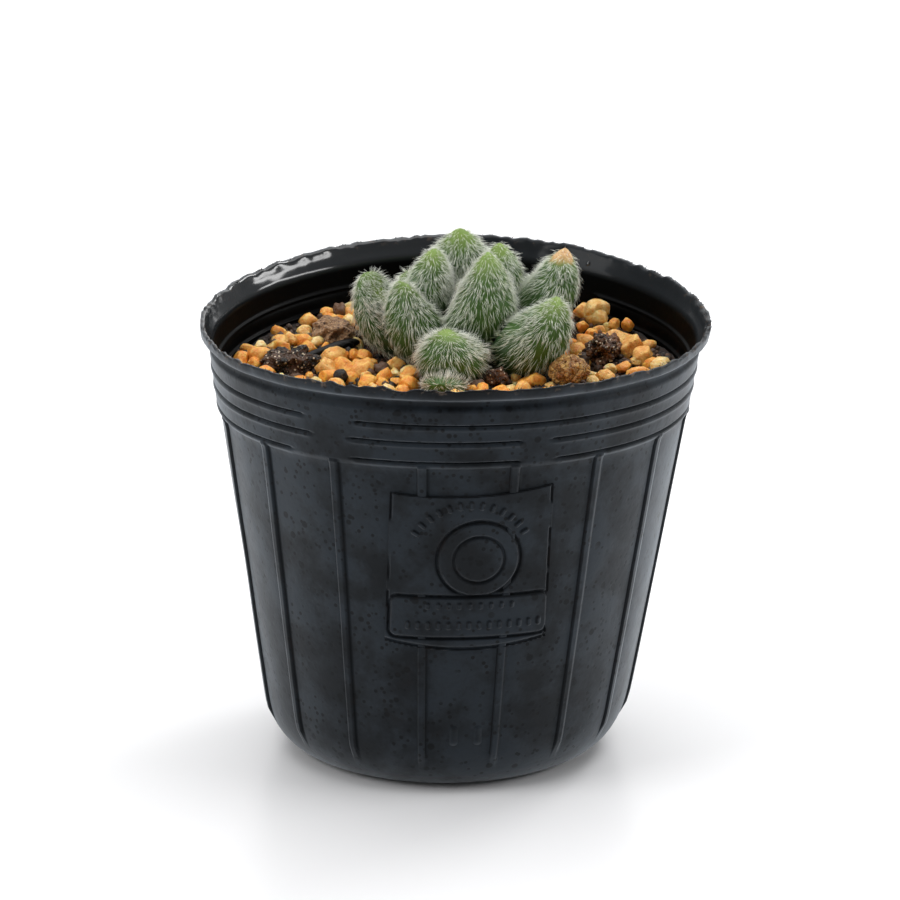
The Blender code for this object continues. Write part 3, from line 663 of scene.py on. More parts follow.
def pot_rows():
    """The pot's skin as rows of radius and height: down the outside, under the base and up the inside.

    Returns the rows and how many of them are outside. The rows stand close at each ring groove.
    """
    grooves = [line + GROOVE_ROWS for line, _ in GROOVES]
    band = np.sort(np.concatenate([even(BAND_TOP, BAND_FOOT, BAND_STEP), *grooves]))[::-1]
    band = band[np.concatenate([[True], -np.diff(band) > LEAST_ROW_STEP])]
    band = band[band > BAND_FOOT]
    wall = np.concatenate([[42.1, 41.3, 40.3], even(39.2, CORNER_HEIGHT + 1, WALL_STEP)])
    outside = [*LIP_OUTSIDE, *((wall_radius(z), z) for z in (*band, *wall)), *corner_curve(14)]
    foot = FOOT_RADIUS - FOOT_WIDTH
    outside += [(14.4, 0.0), (foot, 0.0), (foot - BASE_RAISE, BASE_RAISE), (8.0, BASE_RAISE)]
    outside += [(MIDDLE_HOLE_RADIUS, BASE_RAISE)]
    top = BASE_RAISE + WALL
    inside = [(MIDDLE_HOLE_RADIUS, top), (8.0, top), (foot - 1.2, top), (foot - 0.2, WALL), (14.4, WALL)]
    inside += corner_curve(8, WALL)[::-1].tolist()
    inside += [(wall_radius(z) - WALL, z) for z in (*wall[::-1], *band[::-1])]
    inside += LIP_INSIDE
    return np.array(outside + inside), len(outside)


def pot_columns():
    """The azimuths of the pot's columns: even ones, and more at the edges of each rib."""
    columns = [np.linspace(-math.pi, math.pi, COLUMNS, endpoint=False)]
    edges = np.array([-1.08, -0.9, 0.9, 1.08]) * RIB_HALF_ANGLE
    for number in range(RIBS):
        middle = RIB_PHASE + number * math.tau / RIBS
        middle = (middle + math.pi) % math.tau - math.pi
        columns.append(middle + edges)
    columns = np.unique(np.round(np.concatenate(columns), 6))
    return columns[np.concatenate([[True], np.diff(columns) > LEAST_COLUMN_STEP])]


def turn_between(azimuth, middle):
    """The turn from a middle azimuth, brought to between half a turn each way."""
    return (azimuth - middle + math.pi) % math.tau - math.pi


def ring_relief(azimuth, height):
    """The ring band: proud above its foot, with three grooves that stop at the mould's gaps.

    A groove falls in steeply from its lower edge and comes out slowly to its upper one, and a low bead runs
    under it.
    """
    proud = BAND_PROUD * smooth(height, 41.8, 42.9) * (1 - smooth(height, 49.72, 49.86))
    for line, gaps in GROOVES:
        whole = np.ones_like(azimuth)
        for (low, high), far in product(gaps, (0, 180)):
            off = np.abs(turn_between(azimuth, math.radians((low + high) / 2 + far)))
            half = math.radians(high - low) / 2
            whole = np.minimum(whole, smooth(off, half - 0.008, half + 0.014))
        away = height - line
        dent = np.where(away > 0, 1 - smooth(away, 0, GROOVE_ABOVE), 1 - smooth(-away, 0, GROOVE_BELOW))
        bead = np.exp(-((away + BEAD_BELOW) / BEAD_WIDTH) ** 2)
        proud = proud + whole * (BEAD_PROUD * bead - GROOVE_DEPTH * dent)
    return proud


def rib_relief(azimuth, height):
    """The standing ribs: flat strips with sharp sides, from the base corner up to the band."""
    nearest = turn_between(azimuth * RIBS, RIB_PHASE * RIBS) / RIBS
    across = 1 - smooth(np.abs(nearest), 0.9 * RIB_HALF_ANGLE, 1.08 * RIB_HALF_ANGLE)
    return RIB_PROUD * across * smooth(height, RIB_FOOT - 0.4, RIB_FOOT + 0.3) * (
        1 - smooth(height, RIB_TOP - 0.9, RIB_TOP - 0.5))


def rib_flank_shade(azimuth, height):
    """1 at the foot of each rib's two sides, where the plastic is painted dark as shade."""
    nearest = np.abs(turn_between(azimuth * RIBS, RIB_PHASE * RIBS)) / RIBS / RIB_HALF_ANGLE
    return np.exp(-((nearest - 1.08) / 0.15) ** 2) * smooth(height, RIB_FOOT, RIB_FOOT + 1) * (
        1 - smooth(height, RIB_TOP - 1.2, RIB_TOP - 0.7))


def frayed(azimuth, radius, height):
    """The soft wall and its cut edge: low waves all over, and a rim with folds, frayed bits and one nick.

    Each is a smooth noise of place times how near a point is to the edge.
    """
    spot = round_wall(azimuth, 1.0, height / 40) * 25
    along_rim = round_wall(azimuth, RIM_RADIUS, 0.0)

    def noise(size, seed):
        return cloudy(along_rim, size, seed)

    wave = 0.14 * cloudy(spot, 13.0, 3) + 0.06 * cloudy(spot, 5.0, 4)
    fray = 0.17 * noise(0.8, 11) + 0.1 * noise(3.2, 12)
    fray += 0.12 * smooth(noise(0.6, 13), 0.5, 0.9) - 0.2 * smooth(noise(1.4, 14), 0.6, 0.9)
    nick = np.exp(-(turn_between(azimuth, math.radians(88)) / 0.012) ** 2)
    rim = smooth(height, 51.8, 52.36)
    radius = radius + np.where(radius > WALL_LEAST_RADIUS, wave * smooth(height, 3.0, 12.0), 0)
    radius += rim * 0.12 * noise(0.7, 15)
    height = height + rim * (fray - 0.7 * nick)
    radius += smooth(height, 50.0, 51.6) * (0.12 * noise(4.0, 16) + 0.05 * noise(1.3, 17))
    return radius, height


def drill_holes(pot):
    """Cuts the side drain holes through the base: a Boolean over a collection of drills, which is applied."""
    drills = bpy.data.collections.new("drills")
    bpy.context.scene.collection.children.link(drills)
    for number in range(SIDE_HOLES):
        angle = (number + 0.5) * math.tau / SIDE_HOLES
        spot = (SIDE_HOLE_CIRCLE * math.cos(angle) - LEAN, SIDE_HOLE_CIRCLE * math.sin(angle), BASE_RAISE)
        drill = bmesh.new()
        bmesh.ops.create_cone(
            drill, cap_ends=True, segments=32, radius1=SIDE_HOLE_RADIUS * MM, radius2=SIDE_HOLE_RADIUS * MM,
            depth=4 * WALL * MM, matrix=Matrix.Translation(Vector(spot) * MM),
        )
        shape = bpy.data.meshes.new("drill")
        drill.to_mesh(shape)
        drill.free()
        drills.objects.link(bpy.data.objects.new("drill", shape))
    cut = pot.modifiers.new("drain holes", "BOOLEAN")
    cut.operand_type = "COLLECTION"
    cut.collection = drills
    cut.solver = "EXACT"
    bpy.context.view_layer.update()
    seen = pot.evaluated_get(bpy.context.evaluated_depsgraph_get())
    cut_mesh = bpy.data.meshes.new_from_object(seen)
    pot.modifiers.clear()
    pot.data = cut_mesh
    for drill in list(drills.objects):
        bpy.data.objects.remove(drill)
    bpy.data.collections.remove(drills)


def make_pot(finish):
    """The pot's whole skin as one grid that closes on itself both ways, with its drain holes cut."""
    rows, outside = pot_rows()
    columns = pot_columns()
    azimuth, radius = np.meshgrid(columns, rows[:, 0])
    height = np.repeat(rows[:, 1:], len(columns), axis=1)
    outer = (np.arange(len(rows)) < outside)[:, None]
    relief = ring_relief(azimuth, height) + np.where(outer, rib_relief(azimuth, height), 0)
    upright = np.where(radius > WALL_LEAST_RADIUS, relief, 0)
    radius, height = frayed(azimuth, radius, height)
    points = settle(round_wall(azimuth, radius + upright, height)).reshape(-1, 3)
    dry = smooth(azimuth, math.radians(35), math.radians(60)) * (1 - smooth(azimuth, math.pi - 0.2, math.pi))
    lip = np.where(outer, 0.0, smooth(height, 49.8, 50.6))
    marks = {
        "edge": smooth(height, 51.6, 52.15),
        # Outside, the ribs' feet are painted dark as shade; inside, the plastic is clean
        "clean_and_shade": np.where(outer, 0.7 * rib_flank_shade(azimuth, height), 1.0),
        "lip": lip,
        "gloss": lip * (1 - 0.85 * dry),
    }
    marks = {name: values.ravel() for name, values in marks.items()}
    quads = grid_quads(len(rows), len(columns), True, True)
    drill_holes(piece("pot_shell", points, finish, quads, nodes=["pot"], marks=marks))


def wall_sheet(name, width, low, high, relief, finish, step):
    """A thin plate on the label's side of the wall: a fine front that follows a relief, and a plain back.

    The back has only a bottom and a top row of points: straight lines join them, as the wall is a cone there.
    Steep places are painted dark as shade, so they look as dark as the inner wall.
    """
    x, z = even(-width / 2, width / 2, step), even(low, high, step)
    across, up = np.meshgrid(x, z)
    front = -SHEET_SUNK + relief(across, up)

    def on_wall(across, up, proud):
        radius = wall_radius(up) + proud
        return settle(round_wall(LABEL_TURN + across / wall_radius(up), radius, up)).reshape(-1, 3)

    rows, columns = across.shape
    number = np.arange(rows * columns).reshape(rows, columns)
    under = rows * columns + np.arange(columns)
    over = under + columns
    quads = np.vstack([
        grid_quads(rows, columns),
        np.stack([number[0, :-1], number[0, 1:], under[1:], under[:-1]], axis=1),
        np.stack([under[:-1], under[1:], over[1:], over[:-1]], axis=1),
        np.stack([over[:-1], over[1:], number[-1, 1:], number[-1, :-1]], axis=1),
    ])
    left, right = number[:, 0], number[:, -1]
    triangles = np.vstack([
        np.stack([np.full(rows - 1, under[0]), left[1:], left[:-1]], axis=1),
        np.stack([np.full(rows - 1, under[-1]), right[:-1], right[1:]], axis=1),
        [[under[0], over[0], left[-1]], [under[-1], right[-1], over[-1]]],
    ])
    ends = [on_wall(x, np.full_like(x, level), -SHEET_ROOT) for level in (z[0], z[-1])]
    points = np.vstack([on_wall(across, up, front), *ends])
    marks = {mark: np.zeros(len(points)) for mark in POT_MARKS}
    slope = np.hypot(*np.gradient(front, step))
    # Painted shade on the relief's steep places
    marks["clean_and_shade"][:front.size] = 0.7 * smooth(slope, 0.6, 1.3).ravel()
    piece(name, points, finish, quads, triangles, marks=marks)


def trench(distance, width, depth):
    """A groove along the line where a distance is zero."""
    return -depth * np.exp(-(distance / width) ** 2)


def beyond_box(x, z, half_width, half_height):
    """The distance out of a box round the origin, and nothing inside it."""
    return np.hypot(np.maximum(np.abs(x) - half_width, 0), np.maximum(np.abs(z) - half_height, 0))


def pill(x, z, place, half, turn=0.0):
    """A plain bar with round ends: 1 on it and 0 off it. The turn leans it to the right."""
    u = (x - place[0]) * math.cos(turn) - (z - place[1]) * math.sin(turn)
    v = (x - place[0]) * math.sin(turn) + (z - place[1]) * math.cos(turn)
    bend = 0.9 * min(half)
    out = beyond_box(u, v, half[0] - bend, half[1] - bend) - bend
    return 1 - smooth(out, -0.1, 0.06)


def label_relief(x, z):
    """The label: a panel with a rounded frame, a disc in a ring, and rows of plain bars.

    Its lower edge bulges down in the middle and its upper edge rises to the right, as on a soft wall.
    """
    share = x / 9.8
    low, high = PANEL_LOW + share ** 2, PANEL_HIGH + 0.35 * share + 0.7 * share ** 2
    inside = smooth(z - low, 0, 0.14) * smooth(high - z, 0, 0.14) * smooth(9.62 - np.abs(x), 0, 0.12)
    worn = smooth(cloudy(np.stack([x, z, 0 * x], axis=-1), 1.6, 71), -0.5, 0.1)
    level = PANEL_PROUD + SHEET_SUNK + trench(z - low - 0.42, 0.2, 0.34)
    level += worn * trench(9.32 - np.abs(x), 0.13, 0.34)

    half_width, half_height = BAR_WIDTH / 2 - BAR_CORNER, (BAR_HIGH - BAR_LOW) / 2 - BAR_CORNER
    from_frame = beyond_box(x - 0.2, z - (BAR_HIGH + BAR_LOW) / 2, half_width, half_height) - BAR_CORNER
    level += trench(from_frame, 0.18, 0.36) + 0.14 * (1 - smooth(from_frame, -0.4, -0.1))
    reach = np.hypot(x - DIAL_OFFSET, z - DIAL_HEIGHT)
    dial = trench(reach - DIAL_RADIUS, 0.2, 0.36) + trench(reach - DISC_RADIUS, 0.18, 0.3)
    dial += 0.16 * (1 - smooth(reach, DIAL_RADIUS - 0.4, DIAL_RADIUS))
    level += smooth(from_frame, 0.0, 0.3) * dial
    for turn in map(math.radians, ARC_BARS):
        place = (ARC_MIDDLE[0] + ARC_RADIUS * math.sin(turn), ARC_MIDDLE[1] + ARC_RADIUS * math.cos(turn))
        level += 0.26 * pill(x, z, place, ARC_HALF, turn)
    for first, count, pitch, height, half in BAR_ROWS:
        for place in first + pitch * np.arange(count):
            level += 0.24 * pill(x, z, (place, height), half)
    return level * inside


def mark_relief(x, z):
    """Two plain domed bars with round ends, low on the front."""
    level = np.zeros_like(x)
    for place in STUD_PLACES:
        out = beyond_box(x - place, z - STUD_HEIGHT, 0.0, STUD_STRAIGHT) / STUD_HALF_WIDTH
        level += STUD_PROUD * (1 - smooth(out, 0.0, 1.0))
    return level


def soil_height(x, y):
    """The soil's top before the pot settles: a low mound with clods that rises again at the wall."""
    spot = np.stack([x, y, 0 * x], axis=-1)
    radius = np.hypot(x, y)
    rise = smooth(radius, SOIL_RISE_FROM, SOIL_RISE_FULL) * (SOIL_RISE + SIDE_DIP * (x / SETTLE_RADIUS) ** 2)
    return SOIL_TOP + rise - SOIL_FALL * (radius / DRESSING_RADIUS) ** 2 + 0.4 * rough_noise(spot, 3.2, 4, 21)


def make_soil(finish):
    """The root ball: a lumpy top, straight sides inside the pot and a flat foot, as one turned surface."""
    edge = wall_radius(SOIL_TOP) - SOIL_INSET
    columns = np.linspace(0, math.tau, 180, endpoint=False)
    top = np.linspace(0, edge, 76)[1:]
    side = [(edge - 0.05, SOIL_TOP - 1.6), (wall_radius(CORNER_HEIGHT) - SOIL_INSET, CORNER_HEIGHT),
            (wall_radius(1.4) - 1.7 * SOIL_INSET, 3.6), (FOOT_RADIUS - 1.6, SOIL_FLOOR), (6.0, SOIL_FLOOR)]
    azimuth, radius = np.meshgrid(columns, np.concatenate([top, [row[0] for row in side]]))
    flat = round_wall(azimuth, radius, 0.0)
    height = soil_height(flat[..., 0], flat[..., 1])
    height[len(top):] = np.array([row[1] for row in side])[:, None]
    points = settle(round_wall(azimuth, radius, height)).reshape(-1, 3)
    middle = soil_height(np.zeros(1), np.zeros(1))[0]
    poles = settle(np.array([[0.0, 0.0, middle], [0.0, 0.0, SOIL_FLOOR]]))
    rows, count = azimuth.shape
    ring = np.arange(count)
    last = ring + (rows - 1) * count
    triangles = np.vstack([fan(rows * count, ring), fan(rows * count + 1, last)[:, ::-1]])
    quads = grid_quads(rows, count, close_columns=True)
    piece("root_ball", np.vstack([points, poles]), finish, quads, triangles, ["soil"])


def ball(rings, sides):
    """A unit ball: rings of points from the tip at +Z down to the foot, then its two poles."""
    angle = np.linspace(0, math.pi, rings + 1)[1:-1]
    turn = np.linspace(0, math.tau, sides, endpoint=False)
    down, round_ = np.meshgrid(angle, turn, indexing="ij")
    points = np.stack([np.sin(down) * np.cos(round_), np.sin(down) * np.sin(round_), np.cos(down)], axis=-1)
    points = np.vstack([points.reshape(-1, 3), [[0, 0, 1], [0, 0, -1]]])
    quads = grid_quads(rings - 1, sides, close_columns=True)
    top, bottom = (rings - 1) * sides, (rings - 1) * sides + 1
    last = (rings - 2) * sides + np.arange(sides)
    triangles = np.vstack([fan(top, np.arange(sides)), fan(bottom, last)[:, ::-1]])
    return points, quads, triangles


def leaf_outline(t):
    """A leaf's half width along its axis, as a share of its widest: round at the stem, pointed at the tip."""
    towards_tip = np.clip((t - LEAF_WIDEST) / (1 - LEAF_WIDEST), 0, 1)
    towards_stem = np.clip((LEAF_WIDEST - t) / LEAF_WIDEST, 0, 1)
    return np.where(t > LEAF_WIDEST, (1 - towards_tip ** 2.1) ** 0.72, np.sqrt(1 - towards_stem ** 2.6))


def leaf_axis(ends, t):
    """The points of a leaf's bent axis: a quadratic curve from the stem, by its bend, to its tip."""
    t = np.atleast_1d(t)[:, None]
    base, bend, tip = (np.array(end) for end in ends)
    return (1 - t) ** 2 * base + 2 * t * (1 - t) * bend + t * t * tip


def leaf_course(ends, t):
    """The direction of a leaf's axis: the difference of two points close together on it."""
    return unit(leaf_axis(ends, t + 1e-3) - leaf_axis(ends, t - 1e-3))


def plump_leaf(points, base, bend, tip, width, thickness):
    """Draws a unit ball out along a leaf's axis. Its width lies level and its thickness across the bend."""
    t = (points[:, 2] + 1) / 2
    across = np.hypot(points[:, 0], points[:, 1])
    share = points[:, :2] / np.maximum(across, 1e-6)[:, None]
    share[across < 1e-4] = 0
    out = (np.array(base) + 2 * np.array(bend) + np.array(tip))[:2] / 4 - np.array(STEM_PLACE)
    level = np.array([-out[1], out[0], 0.0]) / np.linalg.norm(out)
    across_bend = unit(np.cross(leaf_course((base, bend, tip), t), level))
    reach = leaf_outline(t)[:, None] / 2
    return leaf_axis((base, bend, tip), t) + reach * (
        width * share[:, :1] * level + thickness * share[:, 1:] * across_bend)


def spread_directions(count):
    """Unit vectors spread evenly over a ball, on a golden-angle spiral."""
    number = np.arange(count) + 0.5
    height = 1 - 2 * number / count
    angle = math.pi * (1 + math.sqrt(5)) * number
    flat = np.sqrt(1 - height ** 2)
    return np.stack([flat * np.cos(angle), flat * np.sin(angle), height], axis=1)


def shared_plane(points, other, middle, other_middle, firmness, directions):
    """The plane that parts two leaves with the least loss, or None where they already stand clear."""
    far = (points @ directions.T).max(axis=0)
    near = (other @ directions.T).min(axis=0)
    between = (other_middle - middle) @ directions.T
    parts = np.where(between > 2 * LEAF_CORE, near - far, -np.inf)
    best = np.argmax(parts)
    if parts[best] > GAP:
        return None
    normal = directions[best]
    level = near[best] + (far[best] - near[best]) * firmness
    return normal, min(max(level, middle @ normal + LEAF_CORE), other_middle @ normal - LEAF_CORE)


def press(points, middle, planes, power=PRESS_POWER):
    """Draws points in towards a middle, to the soft least of the shares at which their lines meet planes."""
    arms = points - middle
    total = np.ones(len(points))
    for normal, level, *_ in planes:
        room = level - middle @ normal
        total += (np.maximum(arms @ normal, 0) / room) ** power
    return middle + arms * (total ** (-1 / power))[:, None]


def pressed_leaves(rings, sides):
    """Every leaf's points, pressed flat against its neighbours, the stem and the soil, and its planes.

    Each plane is a normal, a level and the name of the neighbour behind it, or None for the soil and the
    stem. Also returned for each point: its place along the leaf, and 1 on the margins to 0 in the middle of
    the faces.
    """
    globe, quads, triangles = ball(rings, sides)
    plump = {name: plump_leaf(globe, *form) for name, form in LEAVES.items()}
    middles = {name: leaf_axis(form[:3], LEAF_MIDDLE)[0] for name, form in LEAVES.items()}
    planes = {name: [(np.array([0.0, 0.0, -1.0]), -LEAF_FLOOR, None)] for name in LEAVES}
    directions = spread_directions(SEARCH_DIRECTIONS)
    names = list(LEAVES)
    for index, name in enumerate(names):
        to_stem = np.array([*STEM_PLACE, 0.0]) - middles[name] * (1, 1, 0)
        distance = np.linalg.norm(to_stem)
        if distance > STEM_RADIUS + GAP:
            normal = to_stem / distance
            planes[name].append((normal, middles[name] @ normal + distance - STEM_RADIUS - GAP, None))
        for other in names[index + 1:]:
            firm = [LEAF_FIRMNESS.get(one, 1.0) for one in (name, other)]
            plane = shared_plane(
                plump[name], plump[other], middles[name], middles[other], firm[0] / sum(firm), directions)
            if plane:
                normal, level = plane
                planes[name].append((normal, level - GAP / 2, other))
                planes[other].append((-normal, -level - GAP / 2, name))
    shapes = {name: press(plump[name], middles[name], planes[name]) for name in names}
    margin = np.abs(globe[:, 0]) / np.maximum(np.hypot(globe[:, 0], globe[:, 1]), 1e-6)
    return shapes, planes, (globe[:, 2] + 1) / 2, margin, quads, triangles


def point_normals(points, faces):
    """Each point's normal: the sum of its triangles' normals, weighed by their areas."""
    a, b, c = (points[faces[:, corner]] for corner in range(3))
    around = np.cross(b - a, c - a)
    total = np.zeros_like(points)
    for corner in range(3):
        np.add.at(total, faces[:, corner], around)
    return unit(total) * np.sign(volume_of(points, faces))


def nearest(points, others):
    """Each point's distance to the nearest of some others, from the squares of all distances between them."""
    squares = (points ** 2).sum(axis=1)[:, None] + (others ** 2).sum(axis=1) - 2 * points @ others.T
    return np.sqrt(np.maximum(squares.min(axis=1), 0)) if len(points) else np.zeros(0)


def spikes(rings, tips, out, aside):
    """Thin three-sided spikes, each with two rings of three points round its axis and a tip.

    The rings are two pairs of centres and radii, from the foot up. A ring's points lie a third of a turn
    apart round the way out, and the first lies square to both that way and the way aside.
    """
    side = unit(np.cross(out, aside))
    other = np.cross(out, side)
    corners = []
    for centre, radius in rings:
        for turn in THIRDS:
            corners.append(centre + radius * (math.cos(turn) * side + math.sin(turn) * other))
    start = np.arange(len(tips))[:, None] * SPIKE_POINTS
    quads = np.vstack([start + row for row in ([0, 1, 4, 3], [1, 2, 5, 4], [2, 0, 3, 5])])
    triangles = np.vstack([start + row for row in ([3, 4, 6], [4, 5, 6], [5, 3, 6], [0, 2, 1])])
    return np.stack([*corners, tips], axis=1).reshape(-1, 3), quads, triangles


def hair_roots(name, shapes, faces, along, margin, planes, dead, draw):
    """Where one leaf's hairs grow: their roots, normals, places along the leaf and nearness to its margins.

    Roots are spread by area, in clumps, closer towards the tip, along the leaf's two margins and beside a
    neighbour or the stem. None grow where a neighbour touches, and fewer on a dead tip.
    """
    points = shapes[name]
    a, b, c = (points[faces[:, corner]] for corner in range(3))
    area = np.linalg.norm(np.cross(b - a, c - a), axis=1) / 2
    count = int(area.sum() * HAIR_DENSITY)
    face = draw.choice(len(faces), count, p=area / area.sum())
    shares = draw.dirichlet((1, 1, 1), count)[:, :, None]
    values = np.column_stack([points, point_normals(points, faces), along, margin, dead])
    spread = (values[faces[face]] * shares).sum(axis=1)
    root, normal, (t, edge, dry) = spread[:, :3], unit(spread[:, 3:6]), spread[:, 6:].T

    wanted = 0.07 + 0.15 * smooth(cloudy(root, 0.7, 35), -0.2, 0.5) + 0.2 * smooth(t, 0.65, 0.85)
    wanted += 0.3 * smooth(edge, 0.8, 1.0) * smooth(t, 0.4, 0.7)
    for plane, level, other in planes:
        if other or plane[2] > -0.5:
            wanted += 0.45 * smooth(t, 0.45, 0.75) * np.exp(-((level - root @ plane) / 0.8) ** 2)
    keep = draw.random(count) < np.minimum(wanted, 1) * (1 - 0.6 * dry)
    keep &= root[:, 2] > LEAF_FLOOR + 0.2
    raised = root + 0.25 * normal
    for plane, level, other in planes:
        behind = np.flatnonzero(keep & (raised @ plane > level))
        if other:
            behind = behind[nearest(raised[behind], shapes[other]) < HAIR_CLEAR]
        elif plane[2] > -0.5:
            behind = behind[root[behind, 2] < STEM_TOP + GAP]
        keep[behind] = False
    return root[keep], normal[keep], t[keep], edge[keep]


def coat(name, root, normal, t, edge, finish, draw):
    """The hairs of one leaf: thin spikes that leave the skin aslant and bend towards the leaf's base.

    A hair goes out along the normal and the way down the leaf, turned by noise that it shares with the
    hairs round it, so that they lie in tufts, and its outer half leans further down. Near the tip there is no
    way down, so short hairs stand up there.
    """
    count = len(root)
    down = -leaf_course(LEAVES[name][:3], t)
    down -= np.einsum("ij,ij->i", down, normal)[:, None] * normal
    lie = (1.0 + 0.3 * draw.standard_normal(count))[:, None]
    tuft = np.stack([cloudy(root, 0.8, seed) for seed in (36, 37, 38)], axis=1)
    out = unit(normal * 0.62 + down * lie + 0.45 * tuft + 0.14 * draw.standard_normal((count, 3)))
    length = draw.uniform(*HAIR_LENGTH, count)[:, None] * (1 - 0.5 * t[:, None] ** 6)
    middle = root + out * length * 0.5
    tip = middle + unit(out + 0.5 * down + 0.14 * draw.standard_normal((count, 3))) * length * 0.5
    aside = draw.standard_normal((count, 3))
    radius = HAIR_RADIUS * draw.uniform(0.8, 1.25, count)[:, None]
    rings = ((root - HAIR_ROOT * normal, radius), (middle, 0.8 * radius))
    points, quads, triangles = spikes(rings, tip, out, aside)
    low = smooth(-root[:, 2] - 0.45 * np.minimum(root[:, 0], 0) - 1.2, -50.5, -46.0)
    marks = {
        "out": np.tile([0.0, 0.0, 0.0, 0.6, 0.6, 0.6, 1.0], count),
        "soiled": np.repeat(low * (0.35 + 0.65 * draw.random(count)), SPIKE_POINTS),
        # The hairs on the leaf's margins are painted whiter: painted light on the fringe
        "along": np.repeat(t + 0.15 * smooth(edge, 0.7, 1.0), SPIKE_POINTS),
    }
    piece(name.replace("leaf", "hairs"), points, finish, quads, triangles, marks=marks)


def make_plant(leaf_skin, hair_skin):
    """Each leaf and its coat."""
    shapes, planes, along, margin, quads, triangles = pressed_leaves(48, 60)
    faces = triangles_of(quads, triangles)
    draw = np.random.default_rng(5)
    for name, points in shapes.items():
        dead = 0 * along
        if name == "leaf_right":
            dead = smooth(along + 0.02 * cloudy(points, 0.8, 33) - 0.01 * (points[:, 0] - 12), 0.885, 0.93)
        skin = points + 0.05 * cloudy(points, 0.9, 31)[:, None] * point_normals(points, faces)
        # The low front leaf is painted darker as shade: its place along the leaf is drawn in, so more of it
        # takes the dark base colour
        shade = along * (0.8 if name == "leaf_front_low" else 1.0)
        marks = {"along": shade, "dead": dead}
        piece(f"{name}_skin", skin, leaf_skin, quads, triangles, [name], marks)
        roots = hair_roots(name, shapes, faces, along, margin, planes[name], dead, draw)
        coat(name, *roots, hair_skin, draw)
    return np.vstack(list(shapes.values()))


def geodesic(levels):
    """The points and triangles of a ball of near-even triangles."""
    shape = bmesh.new()
    bmesh.ops.create_icosphere(shape, subdivisions=levels, radius=1.0)
    points = np.array([vertex.co[:] for vertex in shape.verts])
    faces = np.array([[vertex.index for vertex in face.verts] for face in shape.faces])
    shape.free()
    return points, faces


def angular_grain(globe, draw, sides=8):
    """A chunky grain of about unit size: a ball pressed behind a few random planes, then stretched."""
    normals = unit(draw.standard_normal((sides, 3)))
    planes = [(normal, draw.uniform(0.5, 0.85)) for normal in normals]
    shape = press(globe, np.zeros(3), planes, 20)
    stretch = draw.uniform((1.0, 0.86, 0.8), (1.4, 1.15, 1.1))
    return (shape * stretch) @ np.array(Matrix.Rotation(draw.uniform(0, math.tau), 3, "Z")).T


GRAVEL_PATCHES = {
    "gravel_left": (-21.0, 9.5),
    "gravel_left_front": (-10.0, -3.5),
    "gravel_front": (3.0, -15.0),
    "gravel_right_front": (15.0, -8.5),
    "gravel_right": (22.0, 10.0),
    "gravel_back": (11.0, 22.0),
    "gravel_back_left": (-8.5, 21.5),
}

# The grains that are placed one by one: across, into the pot, half size, tint from amber 0 to pale 1, lift
SEEN_GRAINS = (
    (-25.2, 3.3, 0.8, 0.1, 0), (-23.7, 2.5, 0.65, 0, 0), (-24.4, 7.0, 0.7, 0.2, 0), (-23.2, 8.0, 0.6, 1, 0),
    (-22.3, 6.7, 0.5, 1, 0), (-23.6, 6.2, 0.4, 0.9, 0), (-21.5, 9.3, 0.65, 0.5, 0),
    (-20.4, 8.4, 0.95, 0.1, 0), (-19.9, 12.0, 0.8, 0.35, 0), (-17.8, 14.6, 0.7, 0.5, 0),
    (-18.7, 10.1, 0.45, 0.8, 0), (-17.4, 10.0, 0.75, 0.1, 0.2), (-15.4, 20.0, 0.8, 0.15, 0),
    (-15.2, 17.6, 0.95, 0.15, 0), (-16.0, 6.0, 0.55, 0.9, 0), (-14.0, 5.4, 1.0, 0.3, 0.4),
    (-15.1, 2.6, 1.0, 0.4, 0), (-14.7, -0.4, 0.9, 0, 0), (-16.3, -0.7, 0.6, 0.9, 0),
    (-20.3, -0.2, 0.65, 0.9, 0), (-12.9, 2.5, 1.05, 0.1, 0), (-12.1, -1.2, 0.7, 0, 0),
    (-11.9, 6.2, 0.6, 0.1, 0.2), (-10.7, 6.0, 0.65, 0.15, 0.2), (-10.7, 0.9, 1.05, 0.25, 0),
    (-9.9, 4.2, 0.6, 0.3, 0.1), (-10.3, -1.3, 0.55, 0.4, 0), (-9.5, -4.8, 0.55, 0.8, 0),
    (-8.5, -3.7, 0.55, 0, 0), (-6.9, 2.5, 0.85, 0.35, 0.1), (-7.0, 0.1, 0.6, 1, 0),
    (-6.7, -2.6, 0.55, 0.1, 0), (-5.3, -2.0, 1.0, 0.2, 0), (-5.2, -5.2, 0.9, 0.05, 0),
    (17.2, 18.6, 1.15, 0.6, 1.1), (15.3, 20.0, 0.95, 0.4, 0.5), (17.0, 18.0, 1.05, 0.75, 0.2),
    (14.8, 19.8, 0.45, 0.4, 0), (15.4, 16.9, 0.65, 0.1, 0), (16.3, 14.7, 0.75, 0.1, 0),
    (18.4, 16.4, 0.6, 0.85, 0.2), (19.3, 16.6, 0.65, 0.15, 0.2), (20.7, 14.6, 0.6, 0.05, 0.75),
    (19.9, 10.8, 1.35, 0.4, 0), (21.0, 8.2, 1.2, 0.3, 0), (21.9, 9.8, 0.55, 0.8, 0),
    (22.7, 5.6, 1.05, 0.3, 0), (21.5, 5.1, 0.6, 0.5, 0), (20.1, 3.8, 0.65, 0.1, 0),
    (18.5, 3.4, 0.55, 0.85, 0), (16.2, 2.0, 0.65, 0.9, 0), (17.4, 15.4, 0.55, 0.3, 0),
    (0.8, -4.5, 0.65, 0.3, 0), (6.2, -0.6, 0.55, 0.2, 0.1), (7.2, -1.6, 0.65, 0.5, 0.2),
    (9.1, -3.0, 1.15, 0.1, 0), (7.3, -2.9, 0.4, 0.8, 0), (11.3, -3.6, 0.55, 0.8, 0),
)

